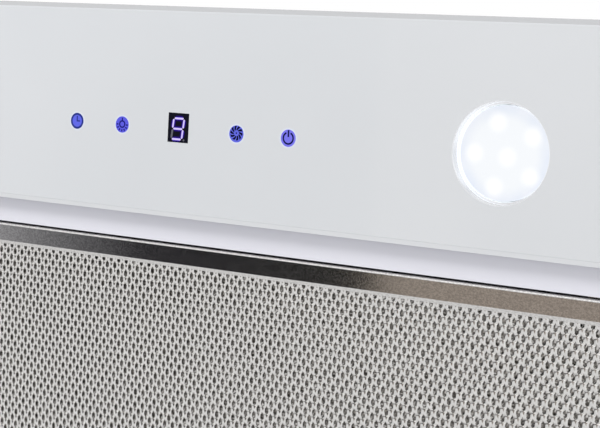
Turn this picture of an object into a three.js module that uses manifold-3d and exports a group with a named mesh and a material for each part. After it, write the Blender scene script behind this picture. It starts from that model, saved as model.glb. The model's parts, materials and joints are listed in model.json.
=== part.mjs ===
// An under cabinet range hood. Millimetres, +Z up, front at -Y, the viewer's right at +X.
// The origin lies in the top face, which is fastened against the underside of the cabinet.
// The underside slopes down from the front edge to the wall. Its pieces are built in a turned group
// whose +Y runs rearwards along the slope and whose +Z points into the hood.
import * as THREE from "three";
import { mergeVertices } from "three/addons/utils/BufferGeometryUtils.js";
import Module from "manifold-3d";

const wasm = await Module();
wasm.setup();

// ---------------------------------------------------------------- driving dimensions
const WIDTH = 598;
const DEPTH = 300;
const FRONT_HEIGHT = 38;
const SLOPE = THREE.MathUtils.degToRad(22);
const SHEET = 1.2;
const GAP = 0.3;

// Glass control panel, measured along the slope.
const GLASS_DEPTH = 93.1;
const GLASS_THICKNESS = 4;
const GLASS_OVERHANG = 6;
const GLASS_OUTER = -5.8;
const GLASS_BEVEL_WIDTH = 2.2;
const GLASS_BEVEL_HEIGHT = 1.2;
const LAMP_X = 153;
const LAMP_ROW = 53.0 - GLASS_OVERHANG;
const DISPLAY_ROW = 53.2 - GLASS_OVERHANG;
const KEY_ROW = 53.8 - GLASS_OVERHANG;
const KEYS = { timer: -56.8, light: -30.9, fan: 30.6, power: 56.7 };
const LAMP_HOLE_RADIUS = 20.25;

// Filter cassette.
const STRIP = 11.9;
const FRAME_GAP = 0.8;
const FILTER_WIDTH = 540;
const FILTER_DEPTH = 185;
const FILTER_HEIGHT = 9.5;
const FRAME_SHEET = 0.8;
const RAIL = 9;

// Blower and outlet.
const BLOWER = { x: -145, y: 55 };
const SCROLL_TOP = -8;
const SCROLL_BOTTOM = -64;
const SCROLL_START = 68;
const SCROLL_END = 90;
const SCROLL_CUTOFF = THREE.MathUtils.degToRad(20);
const SCROLL_TURN = THREE.MathUtils.degToRad(290);
const WHEEL_RADIUS = 60;
const WHEEL_EYE = 46;
const BLADES = 26;
const MOTOR_RADIUS = 32;
const SHAFT_RADIUS = 4;
const INLET_RADIUS = 50;
const OUTLET = { x: 0, y: 79 };
const OUTLET_BOX_HALF = 66;
const COLLAR_RADIUS = 60;
const COLLAR_HEIGHT = 64;
const COLLAR_FLANGE = 9.4;
const DAMPER_Z = 6;

// Electrics.
const CONTROL_BOX = { x0: 100, x1: 272, y0: 30, y1: 142, z0: -48, z1: -SHEET - GAP };
const GLAND = { x: 246, y: 115, bore: 3.6, neck: 8, collar: 11, shoulder: 8.5, tip: 7 };
const GLAND_LEVELS = { bottom: -9, collarTop: 6, top: 16 };

// ---------------------------------------------------------------- derived dimensions
const BACK = DEPTH / 2;
const FRONT_Y = -BACK + GLASS_OVERHANG * Math.cos(SLOPE) - GLASS_OUTER * Math.sin(SLOPE);
const BACK_Z = -FRONT_HEIGHT - (BACK - FRONT_Y) * Math.tan(SLOPE);
const INNER_HALF = WIDTH / 2 - SHEET - GAP;
const GLASS_INNER = GLASS_OUTER + GLASS_THICKNESS;
const GLASS_REAR = GLASS_DEPTH - GLASS_OVERHANG;
const FILTER_FRONT = GLASS_REAR + STRIP + FRAME_GAP;
const FILTER_REAR = FILTER_FRONT + FILTER_DEPTH;
const FILTER_HALF = FILTER_WIDTH / 2;
const TRAY_REAR = (BACK - SHEET - GAP - FRONT_Y - SHEET * Math.sin(SLOPE)) / Math.cos(SLOPE);
const LIP_HEIGHT = (FRONT_HEIGHT - SHEET - GAP) / Math.cos(SLOPE);

// ---------------------------------------------------------------- solids
const solidOf = (geometry) => {
  const loose = geometry.index ? geometry.toNonIndexed() : geometry.clone();
  loose.deleteAttribute("normal");
  loose.deleteAttribute("uv");
  const merged = mergeVertices(loose, 1e-3);
  return new wasm.Manifold(
    new wasm.Mesh({
      numProp: 3,
      vertProperties: merged.attributes.position.array,
      triVerts: new Uint32Array(merged.index.array),
    }),
  );
};

const geometryOf = (solid) => {
  const mesh = solid.getMesh();
  const positions = new Float32Array(mesh.numVert * 3);
  for (let i = 0; i < mesh.numVert; i += 1) {
    const start = i * mesh.numProp;
    positions.set(mesh.vertProperties.subarray(start, start + 3), i * 3);
  }
  const geometry = new THREE.BufferGeometry();
  geometry.setAttribute("position", new THREE.BufferAttribute(positions, 3));
  geometry.setIndex(new THREE.BufferAttribute(mesh.triVerts, 1));
  geometry.computeVertexNormals();
  return geometry;
};

const join = (...pieces) => geometryOf(pieces.map(solidOf).reduce((sum, piece) => sum.add(piece)));

const cut = (base, ...tools) =>
  geometryOf(tools.map(solidOf).reduce((rest, tool) => rest.subtract(tool), solidOf(base)));

const block = (x0, x1, y0, y1, z0, z1) =>
  new THREE.BoxGeometry(x1 - x0, y1 - y0, z1 - z0).translate(
    (x0 + x1) / 2,
    (y0 + y1) / 2,
    (z0 + z1) / 2,
  );

// A block between -half and +half in X.
const slab = (half, y0, y1, z0, z1) => block(-half, half, y0, y1, z0, z1);

const rodZ = (radius, x, y, z0, z1, sides = 16) =>
  new THREE.CylinderGeometry(radius, radius, z1 - z0, sides)
    .rotateX(Math.PI / 2)
    .translate(x, y, (z0 + z1) / 2);

const rodX = (radius, x0, x1, y, z, sides = 16) =>
  new THREE.CylinderGeometry(radius, radius, x1 - x0, sides)
    .rotateZ(Math.PI / 2)
    .translate((x0 + x1) / 2, y, z);

// An outline of [x, y] points, extruded from z0 to z1.
const prismZ = (points, z0, z1) => {
  const outline = new THREE.Shape(points.map(([x, y]) => new THREE.Vector2(x, y)));
  const geometry = new THREE.ExtrudeGeometry(outline, { depth: z1 - z0, bevelEnabled: false });
  return geometry.translate(0, 0, z0);
};

// An outline of [y, z] points, extruded from x0 to x1.
const prismX = (points, x0, x1) => {
  const turn = new THREE.Matrix4().makeBasis(
    new THREE.Vector3(0, 1, 0),
    new THREE.Vector3(0, 0, 1),
    new THREE.Vector3(1, 0, 0),
  );
  return prismZ(points, x0, x1).applyMatrix4(turn);
};

// A closed [radius, z] profile turned round the Z axis. It is put in the order that faces outwards.
const turned = (profile, sides = 32) => {
  const area = profile.reduce((sum, [r, z], i) => {
    const [nextR, nextZ] = profile[(i + 1) % profile.length];
    return sum + r * nextZ - nextR * z;
  }, 0);
  const ordered = area > 0 ? [...profile] : [...profile].reverse();
  ordered.push(ordered[0]);
  const points = ordered.map(([r, z]) => new THREE.Vector2(r, z));
  return new THREE.LatheGeometry(points, sides).rotateX(Math.PI / 2);
};

const polygon = (radius, sides) =>
  Array.from({ length: sides }, (_, i) => {
    const angle = (2 * Math.PI * i) / sides;
    return [radius * Math.cos(angle), radius * Math.sin(angle)];
  });

// A round cable through a list of points.
const cable = (points, radius, steps) => {
  const section = new THREE.Shape(polygon(radius, 8).map(([x, y]) => new THREE.Vector2(x, y)));
  const extrudePath = new THREE.CatmullRomCurve3(points.map((p) => new THREE.Vector3(...p)));
  return new THREE.ExtrudeGeometry(section, { steps, extrudePath, bevelEnabled: false });
};

// ---------------------------------------------------------------- materials and nodes
const FINISHES = {
  paint: { color: 0xe4e4ec, roughness: 0.4, metalness: 0.0 },
  glass: { color: 0xeef0f2, roughness: 0.08, metalness: 0.0 },
  foam: { color: 0x2b2b2d, roughness: 0.9, metalness: 0.0 },
  steel: { color: 0xb9b6b1, roughness: 0.3, metalness: 1.0 },
  mesh: { color: 0xcfcac2, roughness: 0.35, metalness: 1.0 },
  zinc: { color: 0xa9adb1, roughness: 0.45, metalness: 1.0 },
  aluminium: { color: 0xc4c6c8, roughness: 0.4, metalness: 1.0 },
  lens: { color: 0xf4f8fc, roughness: 0.5, metalness: 0.0 },
  board: { color: 0x1d5b35, roughness: 0.6, metalness: 0.0 },
  display: { color: 0x101014, roughness: 0.3, metalness: 0.0 },
  guide: { color: 0x6464e6, roughness: 0.4, metalness: 0.0 },
  blackPlastic: { color: 0x232426, roughness: 0.55, metalness: 0.0 },
  greyPlastic: { color: 0x8d9094, roughness: 0.6, metalness: 0.0 },
  motor: { color: 0x3a3d42, roughness: 0.5, metalness: 0.6 },
  cable: { color: 0x1b1b1d, roughness: 0.7, metalness: 0.0 },
};

const hood = new THREE.Group();

const underside = new THREE.Group();
underside.position.set(0, FRONT_Y, -FRONT_HEIGHT);
underside.rotation.x = -SLOPE;
hood.add(underside);

const blower = new THREE.Group();
blower.position.set(BLOWER.x, BLOWER.y, 0);
hood.add(blower);

const outlet = new THREE.Group();
outlet.position.set(OUTLET.x, OUTLET.y, 0);
hood.add(outlet);

const addNode = (group, name, finish, geometry) => {
  const mesh = new THREE.Mesh(geometry, new THREE.MeshStandardMaterial(FINISHES[finish]));
  mesh.name = name;
  group.add(mesh);
  return mesh;
};

// A point of the turned group, in the hood's own frame.
const onSlope = (x, along, inwards) => [
  x,
  FRONT_Y + along * Math.cos(SLOPE) + inwards * Math.sin(SLOPE),
  -FRONT_HEIGHT - along * Math.sin(SLOPE) + inwards * Math.cos(SLOPE),
];

const SIDES = { left: -1, right: 1 };

// ---------------------------------------------------------------- housing
const FLANGE_SCREW_RADIUS = 65.2;
const SCREW_HOLE = 2.1;
const GLAND_HOLE = 8.4;
const HANGING_HOLE = 2.75;
const HANGING_X = 255;
const HANGING_Y = 90;
const SEAT_ROOM = 0.5;

// The four places round the collar where its flange is screwed down.
const flangeScrews = [45, 135, 225, 315].map((degrees) => {
  const angle = THREE.MathUtils.degToRad(degrees);
  return [FLANGE_SCREW_RADIUS * Math.cos(angle), FLANGE_SCREW_RADIUS * Math.sin(angle)];
});

// The collar's flange and the gland's collar sit in their own holes, so nothing stands on the panel.
function makeTopPanel() {
  const front = FRONT_Y + FRONT_HEIGHT * Math.tan(SLOPE);
  const through = [-SHEET - 1, 1];
  const holes = [
    rodZ(COLLAR_RADIUS + COLLAR_FLANGE + SEAT_ROOM, OUTLET.x, OUTLET.y, ...through, 48),
    rodZ(GLAND.collar + SEAT_ROOM, GLAND.x, GLAND.y, ...through, 24),
  ];
  for (const side of Object.values(SIDES)) {
    for (const y of [-HANGING_Y, HANGING_Y]) {
      holes.push(rodZ(HANGING_HOLE, side * HANGING_X, y, ...through, 12));
    }
  }
  return cut(slab(INNER_HALF, front, BACK, -SHEET, 0), ...holes);
}

function makeSidePanel(side) {
  const profile = [
    [FRONT_Y, -FRONT_HEIGHT],
    [FRONT_Y + FRONT_HEIGHT * Math.tan(SLOPE), 0],
    [BACK, 0],
    [BACK, BACK_Z],
  ];
  const outer = (side * WIDTH) / 2;
  const inner = outer - side * SHEET;
  return prismX(profile, Math.min(outer, inner), Math.max(outer, inner));
}

function makeBackPanel() {
  const inner = BACK - SHEET;
  const top = -SHEET - GAP;
  const profile = [
    [inner, top],
    [BACK, top],
    [BACK, BACK_Z],
    [inner, BACK_Z + SHEET * Math.tan(SLOPE)],
  ];
  return prismX(profile, -INNER_HALF, INNER_HALF);
}

// The white underside: one sheet with openings for the lamps, the controls and the filter.
const TRAY_CLEARANCE = 0.8;
const LAMP_CUP_HOLE = 20.6;
const CONTROL_OPENING = { half: 68, front: 34, rear: 61 };
const RIM_HEIGHT = 9;

function makeBottomTray() {
  const sheet = slab(INNER_HALF, SHEET + GAP, TRAY_REAR, 0, SHEET);
  const openingHalf = FILTER_HALF + TRAY_CLEARANCE;
  const openingFront = FILTER_FRONT - TRAY_CLEARANCE;
  const openingRear = FILTER_REAR + TRAY_CLEARANCE;
  const through = [-1, SHEET + 1];
  const holes = [
    slab(openingHalf, openingFront, openingRear, ...through),
    slab(CONTROL_OPENING.half, CONTROL_OPENING.front, CONTROL_OPENING.rear, ...through),
    rodZ(LAMP_CUP_HOLE, -LAMP_X, LAMP_ROW, ...through, 32),
    rodZ(LAMP_CUP_HOLE, LAMP_X, LAMP_ROW, ...through, 32),
  ];
  const rims = Object.values(SIDES).map((side) => {
    const near = side * openingHalf;
    const far = side * (openingHalf + SHEET);
    const [x0, x1] = [Math.min(near, far), Math.max(near, far)];
    return block(x0, x1, openingFront, openingRear, SHEET / 2, SHEET + RIM_HEIGHT);
  });
  return join(cut(sheet, ...holes), ...rims);
}

addNode(hood, "top_panel", "paint", makeTopPanel());
addNode(hood, "back_panel", "paint", makeBackPanel());
for (const [name, side] of Object.entries(SIDES)) {
  addNode(hood, `side_panel_${name}`, "paint", makeSidePanel(side));
}
addNode(underside, "front_lip", "paint", slab(INNER_HALF, 0, SHEET, 0, LIP_HEIGHT));
addNode(underside, "bottom_tray", "paint", makeBottomTray());

// ---------------------------------------------------------------- glass control panel
const SEAL_WIDTH = 10;
const SEAL_INSET = 2;

function makeGlass() {
  const bevelZ = GLASS_OUTER + GLASS_BEVEL_HEIGHT;
  const profile = [
    [-GLASS_OVERHANG + GLASS_BEVEL_WIDTH, GLASS_OUTER],
    [GLASS_REAR - GLASS_BEVEL_WIDTH, GLASS_OUTER],
    [GLASS_REAR, bevelZ],
    [GLASS_REAR, GLASS_INNER],
    [-GLASS_OVERHANG, GLASS_INNER],
    [-GLASS_OVERHANG, bevelZ],
  ];
  const holes = Object.values(SIDES).map((side) =>
    rodZ(LAMP_HOLE_RADIUS, side * LAMP_X, LAMP_ROW, GLASS_OUTER - 1, GLASS_INNER + 1, 48),
  );
  return cut(prismX(profile, -WIDTH / 2, WIDTH / 2), ...holes);
}

function makeSeal(front) {
  return slab(INNER_HALF, front, front + SEAL_WIDTH, GLASS_INNER + GAP, -GAP);
}

addNode(underside, "glass_panel", "glass", makeGlass());
addNode(underside, "glass_seal_front", "foam", makeSeal(SEAL_INSET));
addNode(underside, "glass_seal_rear", "foam", makeSeal(GLASS_REAR - SEAL_INSET - SEAL_WIDTH));

// ---------------------------------------------------------------- lamps
const LAMP_FACE = -1.4;
const LENS_RADIUS = 19;
const LENS_THICKNESS = 2.5;
const CUP_BORE = 19.3;
const CUP_RADIUS = 20.2;
const CUP_FLANGE = 23.5;
const CUP_FLOOR = 10;
const CUP_END = 17.2;
const WIRE_HOLE = 2.5;
const LED_BOARD_RADIUS = 18.8;
const LED_BOARD = { outer: 8.1, inner: 9.7 };
const LED_RING = 13.5;
const LED_COUNT = 5;
const LED_HALF = 1.5;
const LED_HEIGHT = 0.8;

function makeLampCup() {
  return turned([
    [CUP_BORE, LAMP_FACE],
    [CUP_FLANGE, LAMP_FACE],
    [CUP_FLANGE, -GAP],
    [CUP_RADIUS, -GAP],
    [CUP_RADIUS, CUP_END],
    [WIRE_HOLE, CUP_END],
    [WIRE_HOLE, CUP_FLOOR],
    [CUP_BORE, CUP_FLOOR],
  ]);
}

function makeLedBoard() {
  const chips = [[0, 0]];
  for (let i = 0; i < LED_COUNT; i += 1) {
    const angle = Math.PI + (2 * Math.PI * i) / LED_COUNT;
    chips.push([LED_RING * Math.cos(angle), LED_RING * Math.sin(angle)]);
  }
  const board = rodZ(LED_BOARD_RADIUS, 0, 0, LED_BOARD.outer, LED_BOARD.inner, 32);
  const chipTop = (LED_BOARD.outer + LED_BOARD.inner) / 2;
  const chip = slab(LED_HALF, -LED_HALF, LED_HALF, LED_BOARD.outer - LED_HEIGHT, chipTop);
  return join(board, ...chips.map(([x, y]) => chip.clone().translate(x, y, 0)));
}

for (const [name, side] of Object.entries(SIDES)) {
  const lamp = new THREE.Group();
  lamp.position.set(side * LAMP_X, LAMP_ROW, 0);
  underside.add(lamp);
  const lens = rodZ(LENS_RADIUS, 0, 0, LAMP_FACE, LAMP_FACE + LENS_THICKNESS, 32);
  addNode(lamp, `lamp_cup_${name}`, "aluminium", makeLampCup());
  addNode(lamp, `lamp_lens_${name}`, "lens", lens);
  addNode(lamp, `led_board_${name}`, "board", makeLedBoard());
}

// ---------------------------------------------------------------- touch controls
const GUIDE_RADIUS = 4;
const GUIDE_OUTER = GLASS_INNER + GAP;
const GUIDE_INNER = 2.2;
const DISPLAY = { width: 11.6, depth: 13.6 };
const TOUCH_BOARD = { half: 66, front: 35.5, rear: 59.5, outer: 2.5, inner: 4.1 };
const COVER = { half: 72, front: 30, rear: 65, end: 24, wall: 1.5 };

function makeControlCover() {
  const start = SHEET + GAP;
  const outside = slab(COVER.half, COVER.front, COVER.rear, start, COVER.end);
  const inside = slab(
    COVER.half - COVER.wall,
    COVER.front + COVER.wall,
    COVER.rear - COVER.wall,
    start - 1,
    COVER.end - COVER.wall,
  );
  return cut(outside, inside);
}

for (const [key, x] of Object.entries(KEYS)) {
  addNode(underside, `key_guide_${key}`, "guide", rodZ(GUIDE_RADIUS, x, KEY_ROW, GUIDE_OUTER, GUIDE_INNER));
}
addNode(
  underside,
  "display_module",
  "display",
  slab(
    DISPLAY.width / 2,
    DISPLAY_ROW - DISPLAY.depth / 2,
    DISPLAY_ROW + DISPLAY.depth / 2,
    GUIDE_OUTER,
    GUIDE_INNER,
  ),
);
addNode(
  underside,
  "touch_board",
  "board",
  slab(TOUCH_BOARD.half, TOUCH_BOARD.front, TOUCH_BOARD.rear, TOUCH_BOARD.outer, TOUCH_BOARD.inner),
);
addNode(underside, "control_cover", "blackPlastic", makeControlCover());

// ---------------------------------------------------------------- filter cassette
const POCKET = { half: 22, front: FILTER_REAR - 38.8, rear: FILTER_REAR - 1.1, wall: 1.2 };
const TONGUE = { half: 6, outer: 6.2, inner: 7.8 };
const TONGUE_SLOT = { half: 6.6, outer: 5.8, inner: 8.2 };
const PADDLE = { half: 12, front: POCKET.front + 16, thickness: 2, outer: 0.6 };
const SLIDER_SHOULDER = POCKET.front + 30;
const TONGUE_REACH = 0.4;
const SPRING_RADIUS = 2.4;
const SPRING_BORE = 1.4;
const SPRING_LEVEL = 4.5;
const MESH_LAYERS = { outer: [1.1, 1.8], core: [3.4, 4.9], inner: [7.7, 8.4] };
const MESH_INSET = 1.4;
const TAB = { x: 200, half: 10, reach: 8.5, thickness: 1.1, inset: 0.5 };

const latchPocket = (margin, rear) =>
  slab(POCKET.half + margin, POCKET.front - margin, rear, -1, FILTER_HEIGHT + 1);

function makeFilterFrame() {
  const outside = slab(FILTER_HALF, FILTER_FRONT, FILTER_REAR, 0, FILTER_HEIGHT);
  const channel = slab(
    FILTER_HALF - FRAME_SHEET,
    FILTER_FRONT + FRAME_SHEET,
    FILTER_REAR - FRAME_SHEET,
    FRAME_SHEET,
    FILTER_HEIGHT - FRAME_SHEET,
  );
  const window = slab(FILTER_HALF - RAIL, FILTER_FRONT + RAIL, FILTER_REAR - RAIL, -1, FILTER_HEIGHT + 1);
  const tongueSlot = slab(
    TONGUE_SLOT.half,
    FILTER_REAR - 2,
    FILTER_REAR + 1,
    TONGUE_SLOT.outer,
    TONGUE_SLOT.inner,
  );
  return cut(outside, channel, window, latchPocket(GAP, FILTER_REAR - FRAME_SHEET), tongueSlot);
}

function makeMeshLayer([outer, inner]) {
  const sheet = slab(
    FILTER_HALF - MESH_INSET,
    FILTER_FRONT + MESH_INSET,
    FILTER_REAR - MESH_INSET,
    outer,
    inner,
  );
  return cut(sheet, latchPocket(2 * GAP, FILTER_REAR));
}

function makeLatchHousing() {
  const outside = slab(POCKET.half, POCKET.front, POCKET.rear, 0, FILTER_HEIGHT);
  const hollow = slab(
    POCKET.half - POCKET.wall,
    POCKET.front + POCKET.wall,
    POCKET.rear - POCKET.wall,
    -1,
    FILTER_HEIGHT - POCKET.wall,
  );
  const slot = slab(
    TONGUE_SLOT.half,
    POCKET.rear - 2,
    POCKET.rear + 1,
    TONGUE_SLOT.outer,
    TONGUE_SLOT.inner,
  );
  return cut(outside, hollow, slot);
}

function makeLatchSlider() {
  const paddleRear = PADDLE.front + PADDLE.thickness;
  return join(
    slab(PADDLE.half, PADDLE.front, paddleRear, PADDLE.outer, TONGUE.inner),
    slab(PADDLE.half, paddleRear - 1, SLIDER_SHOULDER, TONGUE.outer, TONGUE.inner),
    slab(TONGUE.half, SLIDER_SHOULDER - 1, FILTER_REAR + TONGUE_REACH, TONGUE.outer, TONGUE.inner),
  );
}

// The spring stands between the pocket's front wall and the paddle.
function makeLatchSpring() {
  const front = POCKET.front + POCKET.wall + GAP;
  const rear = PADDLE.front - GAP;
  const profile = [
    [SPRING_BORE, -rear],
    [SPRING_RADIUS, -rear],
    [SPRING_RADIUS, -front],
    [SPRING_BORE, -front],
  ];
  return turned(profile, 12)
    .rotateX(Math.PI / 2)
    .translate(0, 0, SPRING_LEVEL);
}

function makeFilterTab() {
  const heel = FILTER_FRONT - GAP;
  const toe = heel - TAB.reach;
  const foot = SHEET + TAB.inset;
  const top = FILTER_HEIGHT - TAB.inset;
  const profile = [
    [toe, foot],
    [heel, foot],
    [heel, top],
    [heel - TAB.thickness, top],
    [heel - TAB.thickness, foot + TAB.thickness],
    [toe, foot + TAB.thickness],
  ];
  return prismX(profile, -TAB.half, TAB.half);
}

addNode(underside, "filter_frame", "steel", makeFilterFrame());
for (const [layer, levels] of Object.entries(MESH_LAYERS)) {
  addNode(underside, `filter_mesh_${layer}`, "mesh", makeMeshLayer(levels));
}
for (const [name, side] of Object.entries(SIDES)) {
  addNode(underside, `filter_tab_${name}`, "steel", makeFilterTab()).position.x = side * TAB.x;
}
addNode(underside, "latch_housing", "greyPlastic", makeLatchHousing());
addNode(underside, "latch_slider", "greyPlastic", makeLatchSlider());
addNode(underside, "latch_spring", "steel", makeLatchSpring());

// ---------------------------------------------------------------- blower
const SCROLL_STEPS = 36;
const SCROLL_EXIT_X = -OUTLET_BOX_HALF - 2 * GAP - BLOWER.x;
const MOTOR_TOP = SCROLL_TOP - SHEET - GAP;
const MOTOR_HEIGHT = 30;
const MOTOR_BOTTOM = MOTOR_TOP - MOTOR_HEIGHT;
const MOTOR_SCREW_CIRCLE = 22;
const MOTOR_SCREW_DEPTH = 9;
const BEARING_DEPTH = 15;
const STANDOFF = { circle: 54, radius: 5 };
const MOUTH_HEIGHT = 3;
const CABLE_HOLE = { x: 2, y: -23, radius: 7 };
const WHEEL_ROOM = { above: 6, motor: 2, motorSide: 2.5, below: 5 };
const WHEEL_PLATE_Z = SCROLL_TOP - WHEEL_ROOM.above;
const WHEEL_DISH_Z = MOTOR_BOTTOM - WHEEL_ROOM.motor;
const WHEEL_BOTTOM = SCROLL_BOTTOM + WHEEL_ROOM.below;
const WHEEL_RING = { inset: 3.5, proud: 0.8, height: 2 };
const BLADE = { thickness: 1, segments: 3, lean: 0.26, root: 1 };
const HUB = { radius: 7, length: 10 };
const HUB_END = WHEEL_DISH_Z - HUB.length;
const RUNNING_CLEARANCE = 0.06;

// The scroll's outline seen from above, moved outwards by offset. It widens clockwise from the cut-off
// to the straight outlet, which points at +X.
function scrollOutline(offset, exitX) {
  const cutoffY = SCROLL_START * Math.sin(SCROLL_CUTOFF) - offset;
  const start = Math.asin(cutoffY / (SCROLL_START + offset));
  const turn = SCROLL_TURN + start - SCROLL_CUTOFF;
  const points = [];
  for (let i = 0; i <= SCROLL_STEPS; i += 1) {
    const share = i / SCROLL_STEPS;
    const radius = SCROLL_START + (SCROLL_END - SCROLL_START) * share + offset;
    const angle = start - turn * share;
    points.push([radius * Math.cos(angle), radius * Math.sin(angle)]);
  }
  points.push([exitX, SCROLL_END + offset]);
  points.push([exitX, cutoffY]);
  return points;
}

const around = (count, radius, phase = 0) =>
  polygon(radius, count).map(([x, y]) => [
    x * Math.cos(phase) - y * Math.sin(phase),
    x * Math.sin(phase) + y * Math.cos(phase),
  ]);

const motorScrews = around(3, MOTOR_SCREW_CIRCLE, Math.PI / 2);

function makeScrollHousing() {
  const outside = prismZ(scrollOutline(SHEET, SCROLL_EXIT_X), SCROLL_BOTTOM, SCROLL_TOP);
  const inside = prismZ(scrollOutline(0, SCROLL_EXIT_X + 1), SCROLL_BOTTOM - 1, SCROLL_TOP - SHEET);
  const standoffs = around(3, STANDOFF.circle, Math.PI / 6).map(([x, y]) =>
    rodZ(STANDOFF.radius, x, y, SCROLL_TOP - SHEET / 2, -SHEET - GAP, 12),
  );
  const through = [SCROLL_TOP - SHEET - 1, SCROLL_TOP + 1];
  const holes = motorScrews.map(([x, y]) => rodZ(SCREW_HOLE, x, y, ...through, 12));
  holes.push(rodZ(CABLE_HOLE.radius, CABLE_HOLE.x, CABLE_HOLE.y, ...through, 12));
  return cut(join(cut(outside, inside), ...standoffs), ...holes);
}

// The bottom cover, with the round inlet mouth that the air enters by.
function makeScrollCover() {
  const top = SCROLL_BOTTOM - GAP;
  const bottom = top - SHEET;
  const plate = prismZ(scrollOutline(SHEET, SCROLL_EXIT_X), bottom, top);
  const opening = rodZ(INLET_RADIUS + SHEET / 2, 0, 0, bottom - 1, top + 1, 48);
  const mouth = turned(
    [
      [INLET_RADIUS + SHEET, bottom],
      [INLET_RADIUS + SHEET, top + MOUTH_HEIGHT],
      [INLET_RADIUS, top + MOUTH_HEIGHT],
      [INLET_RADIUS, bottom],
    ],
    48,
  );
  return join(cut(plate, opening), mouth);
}

// One forward-curved blade: a thin strip that leans further clockwise towards its tip.
function bladeOutline() {
  const root = WHEEL_EYE + BLADE.root;
  const side = (shift) =>
    Array.from({ length: BLADE.segments + 1 }, (_, i) => {
      const share = i / BLADE.segments;
      const radius = root + (WHEEL_RADIUS - root) * share;
      const angle = -BLADE.lean * share * share + shift / radius;
      return [radius * Math.cos(angle), radius * Math.sin(angle)];
    });
  return [...side(-BLADE.thickness / 2), ...side(BLADE.thickness / 2).reverse()];
}

function makeImpeller() {
  const bore = SHAFT_RADIUS + RUNNING_CLEARANCE;
  const dishTop = MOTOR_RADIUS + WHEEL_ROOM.motorSide;
  const dish = turned([
    [bore, WHEEL_DISH_Z],
    [dishTop, WHEEL_DISH_Z],
    [WHEEL_EYE - 1, WHEEL_PLATE_Z],
    [WHEEL_RADIUS, WHEEL_PLATE_Z],
    [WHEEL_RADIUS, WHEEL_PLATE_Z - SHEET],
    [WHEEL_EYE, WHEEL_PLATE_Z - SHEET],
    [dishTop + 1, WHEEL_DISH_Z - SHEET],
    [HUB.radius, WHEEL_DISH_Z - SHEET],
    [HUB.radius, HUB_END],
    [bore, HUB_END],
  ]);
  const ringInner = WHEEL_RADIUS - WHEEL_RING.inset;
  const ringOuter = WHEEL_RADIUS + WHEEL_RING.proud;
  const ringTop = WHEEL_BOTTOM + WHEEL_RING.height;
  const ring = turned([
    [ringInner, WHEEL_BOTTOM],
    [ringOuter, WHEEL_BOTTOM],
    [ringOuter, ringTop],
    [ringInner, ringTop],
  ]);
  const blade = prismZ(bladeOutline(), ringTop - 1, WHEEL_PLATE_Z - SHEET / 2);
  const blades = Array.from({ length: BLADES }, (_, i) => blade.clone().rotateZ((2 * Math.PI * i) / BLADES));
  return join(dish, ring, ...blades);
}

function makeMotorBody() {
  const can = rodZ(MOTOR_RADIUS, 0, 0, MOTOR_BOTTOM, MOTOR_TOP, 32);
  const bearingEnd = MOTOR_BOTTOM + BEARING_DEPTH;
  const bearing = rodZ(SHAFT_RADIUS + RUNNING_CLEARANCE, 0, 0, MOTOR_BOTTOM - 1, bearingEnd, 24);
  const holeBottom = MOTOR_TOP - MOTOR_SCREW_DEPTH;
  const holes = motorScrews.map(([x, y]) => rodZ(SCREW_HOLE, x, y, holeBottom, MOTOR_TOP + 1, 12));
  return cut(can, bearing, ...holes);
}

// A pan head screw that points down. Its head stands a tenth of a millimetre off the surface at z.
const SCREW = { head: 3.4, shank: 1.7, clearance: 0.1, headHeight: 1.8 };

function makeScrew(x, y, z, length) {
  const under = z + SCREW.clearance;
  const head = rodZ(SCREW.head, x, y, under, under + SCREW.headHeight, 12);
  const shank = rodZ(SCREW.shank, x, y, z - length, under + SCREW.headHeight / 2, 12);
  return join(head, shank);
}

addNode(blower, "scroll_housing", "zinc", makeScrollHousing());
addNode(blower, "scroll_cover", "zinc", makeScrollCover());
addNode(blower, "impeller", "blackPlastic", makeImpeller());
addNode(blower, "motor_body", "motor", makeMotorBody());
addNode(
  blower,
  "motor_shaft",
  "steel",
  rodZ(SHAFT_RADIUS, 0, 0, HUB_END - 2, MOTOR_BOTTOM + BEARING_DEPTH - 1, 24),
);
motorScrews.forEach(([x, y], i) => {
  addNode(blower, `motor_screw_${i + 1}`, "zinc", makeScrew(x, y, SCROLL_TOP, 8));
});

// ---------------------------------------------------------------- outlet
const PIN_RADIUS = 1.5;
const KNUCKLE_RADIUS = 3;
const KNUCKLE_BORE = 1.62;
const FLAP_RADIUS = COLLAR_RADIUS - SHEET - 1.2;
const FLAP_THICKNESS = 1.2;
const FLAP_INNER_EDGE = 3.6;
const FLAP_ARM_START = 2;
const FLAP_STEPS = 20;

function makeOutletBox() {
  const half = OUTLET_BOX_HALF;
  const rear = BLOWER.y + SCROLL_END + SHEET - OUTLET.y;
  const bottom = SCROLL_BOTTOM - GAP - SHEET;
  const top = -SHEET - GAP;
  const outside = block(-half, half, -half - 1, rear, bottom, top);
  const ceiling = top - SHEET;
  const inner = half - SHEET;
  const inside = block(-inner, inner, -inner - 1, rear - SHEET, bottom + SHEET, ceiling);
  const exit = rodZ(COLLAR_RADIUS - SHEET, 0, 0, ceiling - 1, top + 1, 48);
  const screwHoles = flangeScrews.map(([x, y]) => rodZ(SCREW_HOLE, x, y, ceiling - 1, top + 1, 12));
  const mouthFront = BLOWER.y + SCROLL_START * Math.sin(SCROLL_CUTOFF) - OUTLET.y;
  const mouth = block(
    -half - 1,
    -half + SHEET + 1,
    mouthFront,
    rear - SHEET,
    SCROLL_BOTTOM,
    SCROLL_TOP - SHEET,
  );
  return cut(outside, inside, mouth, exit, ...screwHoles);
}

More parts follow.
